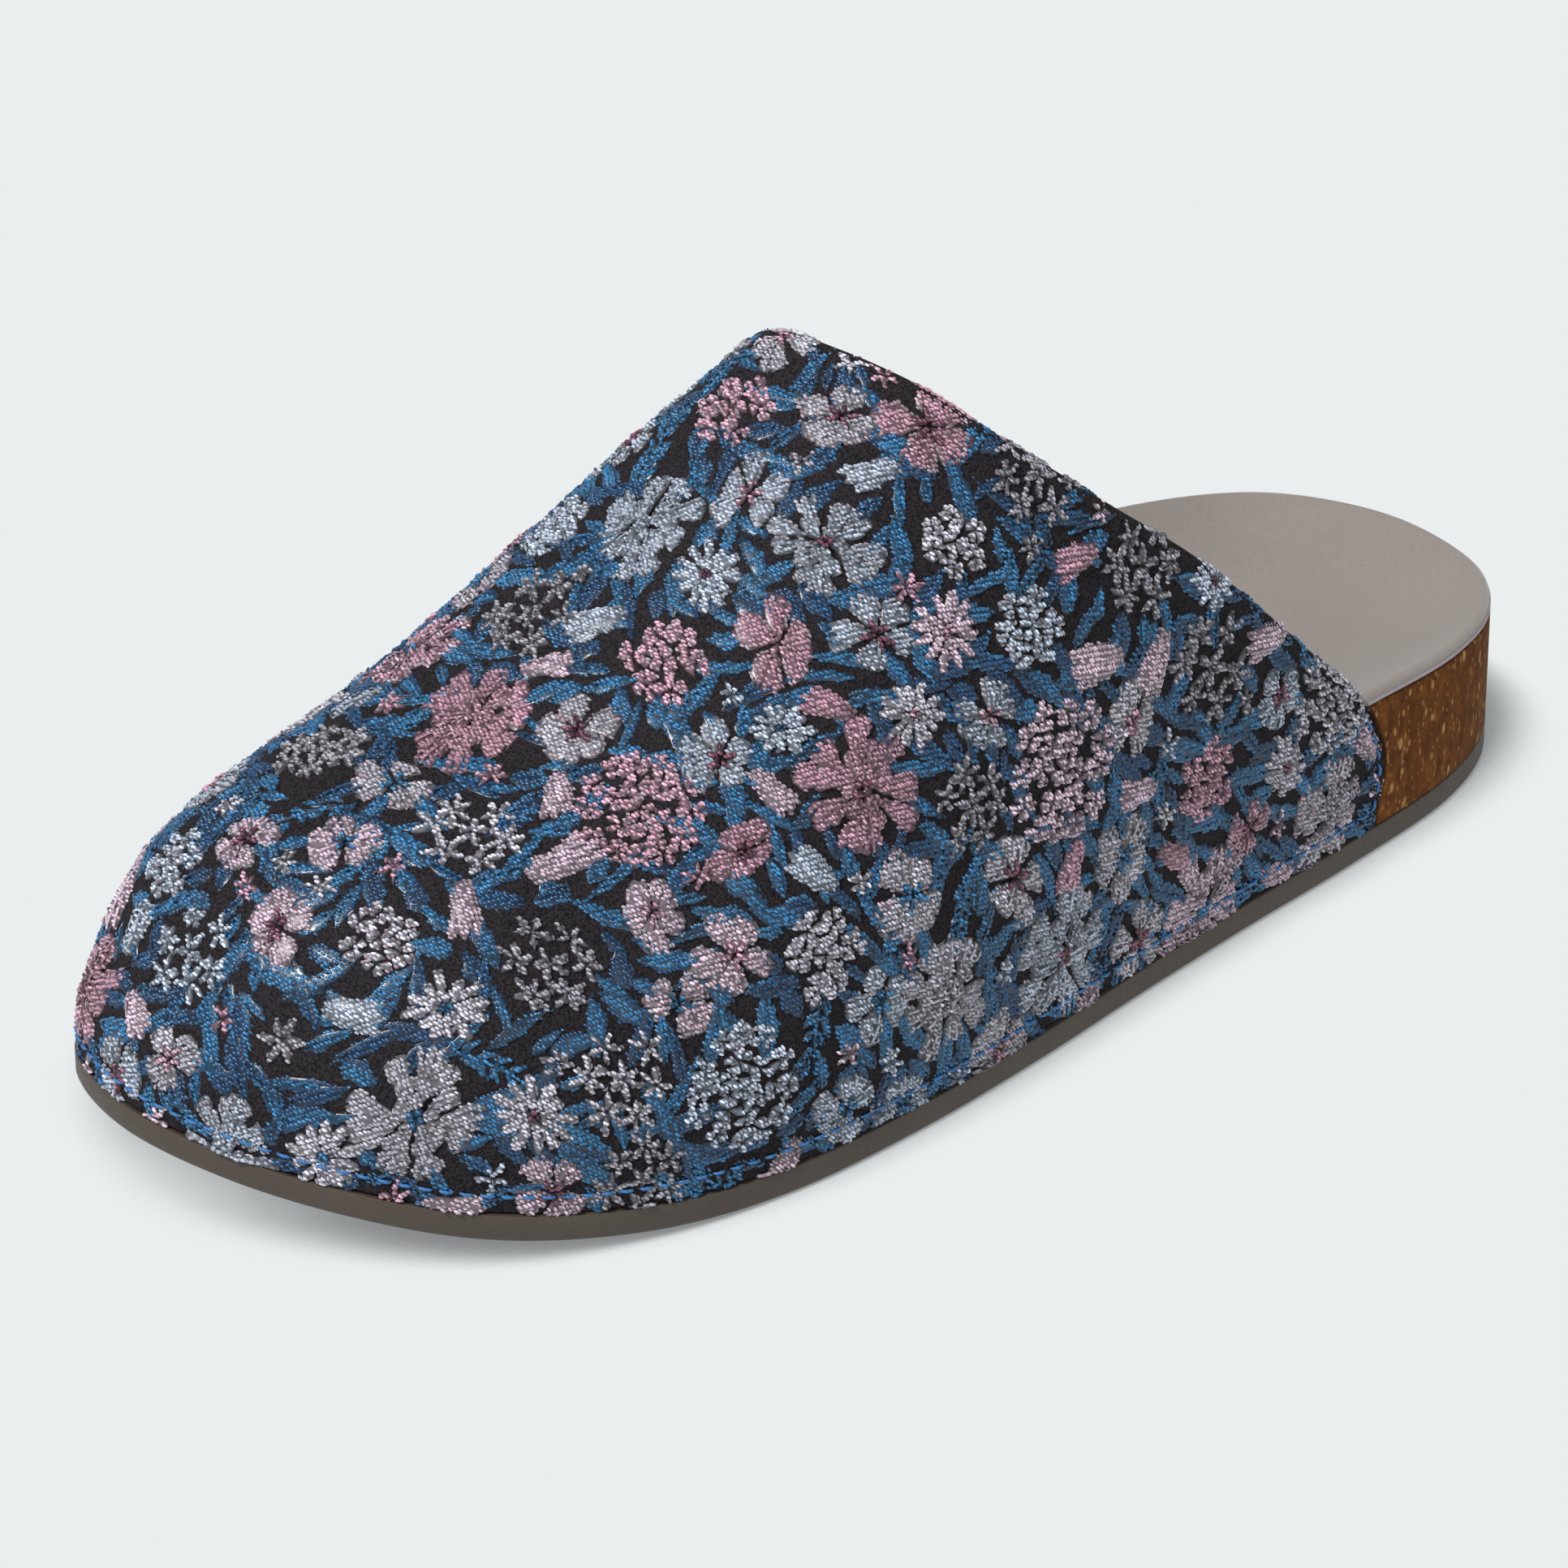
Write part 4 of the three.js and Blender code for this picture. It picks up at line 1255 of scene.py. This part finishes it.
class MULE_OT_embroidery(bpy.types.Operator):
    """Lay the embroidered flowers and leaves on the upper, one mesh for each thread colour"""

    bl_idname = "mule.embroidery"
    bl_label = "Embroidery"

    def execute(self, context):
        thread = context.scene.mule_threads
        last = Last(context.scene.mule_sizes)
        work = Embroidery(last, thread)
        scatter_leaves(work, thread.relief, *scatter_flowers(work, thread.relief))
        work.lay()
        colours = context.scene.mule_colours
        for name in sorted(work.laid[-1]):
            points, tris, tones = work.mesh(name)
            material = embroidered_thread(f"Polyester thread, {name}, satin-stitched", getattr(colours, name))
            piece = make_mesh(last, f"embroidery_{name}", points, tris, [material], smooth_angle=100)
            piece.data.attributes.new("shade", "FLOAT", "POINT").data.foreach_set("value", tones)
            hand_over(piece, "brocade")
        return {"FINISHED"}


# Stitch: sides, share of the pitch, radius, rise and, along it, place, girth and rise of its rings
STITCH_SIDES = 8
STITCH_SHARE = 0.78
STITCH_RADIUS = 0.24 * MM
STITCH_RISE = 0.42 * MM
STITCH_RINGS = (
    (0, 0.05, -0.2), (0.12, 0.75, 0.6), (0.35, 1, 1), (0.65, 1, 1), (0.88, 0.75, 0.6), (1, 0.05, -0.2),
)


class MULE_OT_seam(bpy.types.Operator):
    """Sew the blue seam over the hem, turned up at both ends of the collar"""

    bl_idname = "mule.seam"
    bl_label = "Hem seam"

    def execute(self, context):
        thread = context.scene.mule_threads
        last = Last(context.scene.mule_sizes)
        skin = Skin(last, thread)
        points, normals = skin.points[skin.index], skin.normals[skin.index]
        over_hem = points[..., 2] - last.hem(points[..., 1])
        rows, columns = np.arange(points.shape[0]), np.arange(points.shape[1])

        def inset(row, backwards):
            """Column that lies the seam's inset in from the collar edge."""
            lane = points[row, ::-1] if backwards else points[row]
            reach = np.concatenate([[0], np.cumsum(np.linalg.norm(np.diff(lane, axis=0), axis=1))])
            column = np.interp(thread.inset, reach, columns)
            return columns[-1] - column if backwards else column

        low, high = thread.seam, last.size.cork + last.size.insole
        ends = [
            [(row, inset(row, edge < 0)) for row in rows if low < over_hem[row, edge] < high]
            for edge in (0, -1)
        ]
        hem = [(np.interp(low, over_hem[:, column], rows), column) for column in columns]
        first, last_column = ends[0][0][1], ends[1][0][1]
        path = np.array(ends[0][::-1] + [step for step in hem if first < step[1] < last_column] + ends[1])
        whole = np.minimum(np.floor(path).astype(int), [rows[-1] - 1, columns[-1] - 1])
        down, over = (path - whole).T[..., None]

        def sample(values):
            """Values of the grid at the places of the path."""
            row, column = whole.T
            near = mix(values[row, column], values[row, column + 1], over)
            return mix(near, mix(values[row + 1, column], values[row + 1, column + 1], over), down)

        line, facing = sample(points), sample(normals)
        run = np.concatenate([[0], np.cumsum(np.linalg.norm(np.diff(line, axis=0), axis=1))])

        def at(distance, values):
            return np.column_stack([np.interp(distance, run, values[:, k]) for k in range(3)])

        count = int(run[-1] / thread.stitch)
        starts = np.arange(count) * run[-1] / count
        rings = []
        for share, girth, height in STITCH_RINGS:
            place = starts + share * STITCH_SHARE * thread.stitch
            middle, up = at(place, line), at(place, facing)
            ahead = at(place + 0.2 * MM, line) - middle
            ahead /= np.linalg.norm(ahead, axis=1, keepdims=True)
            side = np.cross(up, ahead)
            radius = STITCH_RADIUS * girth
            for turn in np.linspace(0, 2 * math.pi, STITCH_SIDES, endpoint=False):
                rise = STITCH_RISE * height + radius * math.sin(turn)
                rings.append(middle + up * rise + side * radius * 1.2 * math.cos(turn))
        body = np.stack(rings, axis=1)
        ring_faces = grid_faces(len(STITCH_RINGS), STITCH_SIDES, closed=True)
        faces = (ring_faces[None] + (len(rings) * np.arange(count))[:, None, None]).reshape(-1, 4)
        piece = make_mesh(
            last, "hem_seam", body.reshape(-1, 3), faces[:, ::-1],
            [sewing_thread(context.scene.mule_colours.seam)], smooth_angle=100,
        )
        hand_over(piece, "brocade")
        return {"FINISHED"}


# Studio: half width of the floor and how far it lies under the sole
FLOOR_HALF = 6
FLOOR_Z = -0.0003

# Suns: name, strength, spread in degrees and where they stand
SUNS = (("key", 3.3, 8, (-0.02, -0.6, 0.8)), ("fill", 0.65, 50, (0.9, -0.2, 0.38)))

# Camera: angles round the shoe and over the floor, distance, focal length and aim in its picture
AZIMUTH = math.radians(50.362)
ELEVATION = math.radians(29.916)
DISTANCE = 1.25
FOCAL_LENGTH = 185.8
AIM_RIGHT = -6.286 * MM
AIM_UP = 22.553 * MM
AIM_ACROSS = 2.98 * MM


class MULE_OT_studio(bpy.types.Operator):
    """Set up the pale glowing floor with its painted contact shadow, the soft light and the camera"""

    bl_idname = "mule.studio"
    bl_label = "Studio"

    def execute(self, context):
        scene = context.scene
        mesh = bpy.data.meshes.new("studio_floor")
        corners = [(x * FLOOR_HALF, y * FLOOR_HALF, FLOOR_Z) for x, y in ((-1, -1), (1, -1), (1, 1), (-1, 1))]
        mesh.from_pydata(corners, [], [(0, 1, 2, 3)])
        floor = bpy.data.objects.new("studio_floor", mesh)
        scene.collection.objects.link(floor)
        material, tree = new_material("Studio floor, glowing, with painted shadow")
        # The floor glows evenly; an ambient occlusion node, looking along a normal leaned to the front right,
        # paints a soft shadow next to the shoe into its colour
        lean = add(tree, "ShaderNodeCombineXYZ", X=0.58, Y=-0.66, Z=0.48)
        near = add(
            tree, "ShaderNodeAmbientOcclusion", {"samples": 16}, Distance=14 * MM, Normal=lean.outputs[0]
        )
        dark = add(tree, "ShaderNodeValToRGB", Fac=near.outputs["AO"])
        # Painted shadow grey next to the shoe, then the floor's own colour
        painted_shadow_stops = ((0.66, rgb("#868889")), (0.92, scene.mule_colours.floor))
        for stop, (position, shade) in zip(dark.color_ramp.elements, painted_shadow_stops):
            stop.position, stop.color = position, (*shade, 1)
        glow = add(tree, "ShaderNodeEmission", Color=dark.outputs["Color"], Strength=1.0)
        add(tree, "ShaderNodeOutputMaterial", Surface=glow.outputs[0])
        mesh.materials.append(material)

        scene.view_settings.view_transform = "Standard"
        world = bpy.data.worlds.new("Studio")
        world.use_nodes = True
        sky = world.node_tree.nodes["Background"]
        sky.inputs["Color"].default_value = (0.96, 0.98, 1.0, 1)
        sky.inputs["Strength"].default_value = 0.42
        scene.world = world
        for name, strength, spread, source in SUNS:
            light = bpy.data.lights.new(name, "SUN")
            light.energy = strength
            light.angle = math.radians(spread)
            lamp = bpy.data.objects.new(name, light)
            lamp.rotation_euler = Vector(source).to_track_quat("Z", "Y").to_euler()
            scene.collection.objects.link(lamp)

        right = Vector((math.cos(AZIMUTH), math.sin(AZIMUTH), 0))
        flat = math.cos(ELEVATION)
        back = Vector((math.sin(AZIMUTH) * flat, -math.cos(AZIMUTH) * flat, math.sin(ELEVATION)))
        up = back.cross(right)
        target = right * AIM_RIGHT + up * AIM_UP - Vector((AIM_ACROSS, 0, 0))
        camera = bpy.data.objects.new("camera", bpy.data.cameras.new("camera"))
        camera.data.sensor_width = 36
        camera.data.lens = FOCAL_LENGTH
        camera.data.clip_start = 0.05
        camera.location = target + back * DISTANCE
        camera.rotation_euler = back.to_track_quat("Z", "Y").to_euler()
        scene.collection.objects.link(camera)
        scene.camera = camera
        return {"FINISHED"}


class MULE_PT_panel(bpy.types.Panel):
    """Sidebar panel with the sizes, the colours and the pieces"""

    bl_label = "Mule"
    bl_idname = "MULE_PT_panel"
    bl_space_type = "VIEW_3D"
    bl_region_type = "UI"
    bl_category = "Mule"

    def draw(self, context):
        for group in (context.scene.mule_sizes, context.scene.mule_threads, context.scene.mule_colours):
            column = self.layout.column(align=True)
            for name in group.__annotations__:
                column.prop(group, name)
        for operator in OPERATORS:
            self.layout.operator(operator.bl_idname)


OPERATORS = (
    MULE_OT_outsole, MULE_OT_footbed, MULE_OT_insole, MULE_OT_upper, MULE_OT_embroidery, MULE_OT_seam,
    MULE_OT_studio,
)
GROUPS = {"mule_sizes": MuleSizes, "mule_threads": ThreadSizes, "mule_colours": MuleColours}
CLASSES = (*GROUPS.values(), *OPERATORS, MULE_PT_panel)


def register():
    for cls in CLASSES:
        bpy.utils.register_class(cls)
    for name, group in GROUPS.items():
        setattr(bpy.types.Scene, name, PointerProperty(type=group))


def unregister():
    for name in GROUPS:
        delattr(bpy.types.Scene, name)
    for cls in reversed(CLASSES):
        bpy.utils.unregister_class(cls)


def main():
    """Builds the whole scene."""
    register()
    for step in ("outsole", "footbed", "insole", "upper", "embroidery", "seam", "studio"):
        getattr(bpy.ops.mule, step)()


if __name__ == "__main__":
    main()
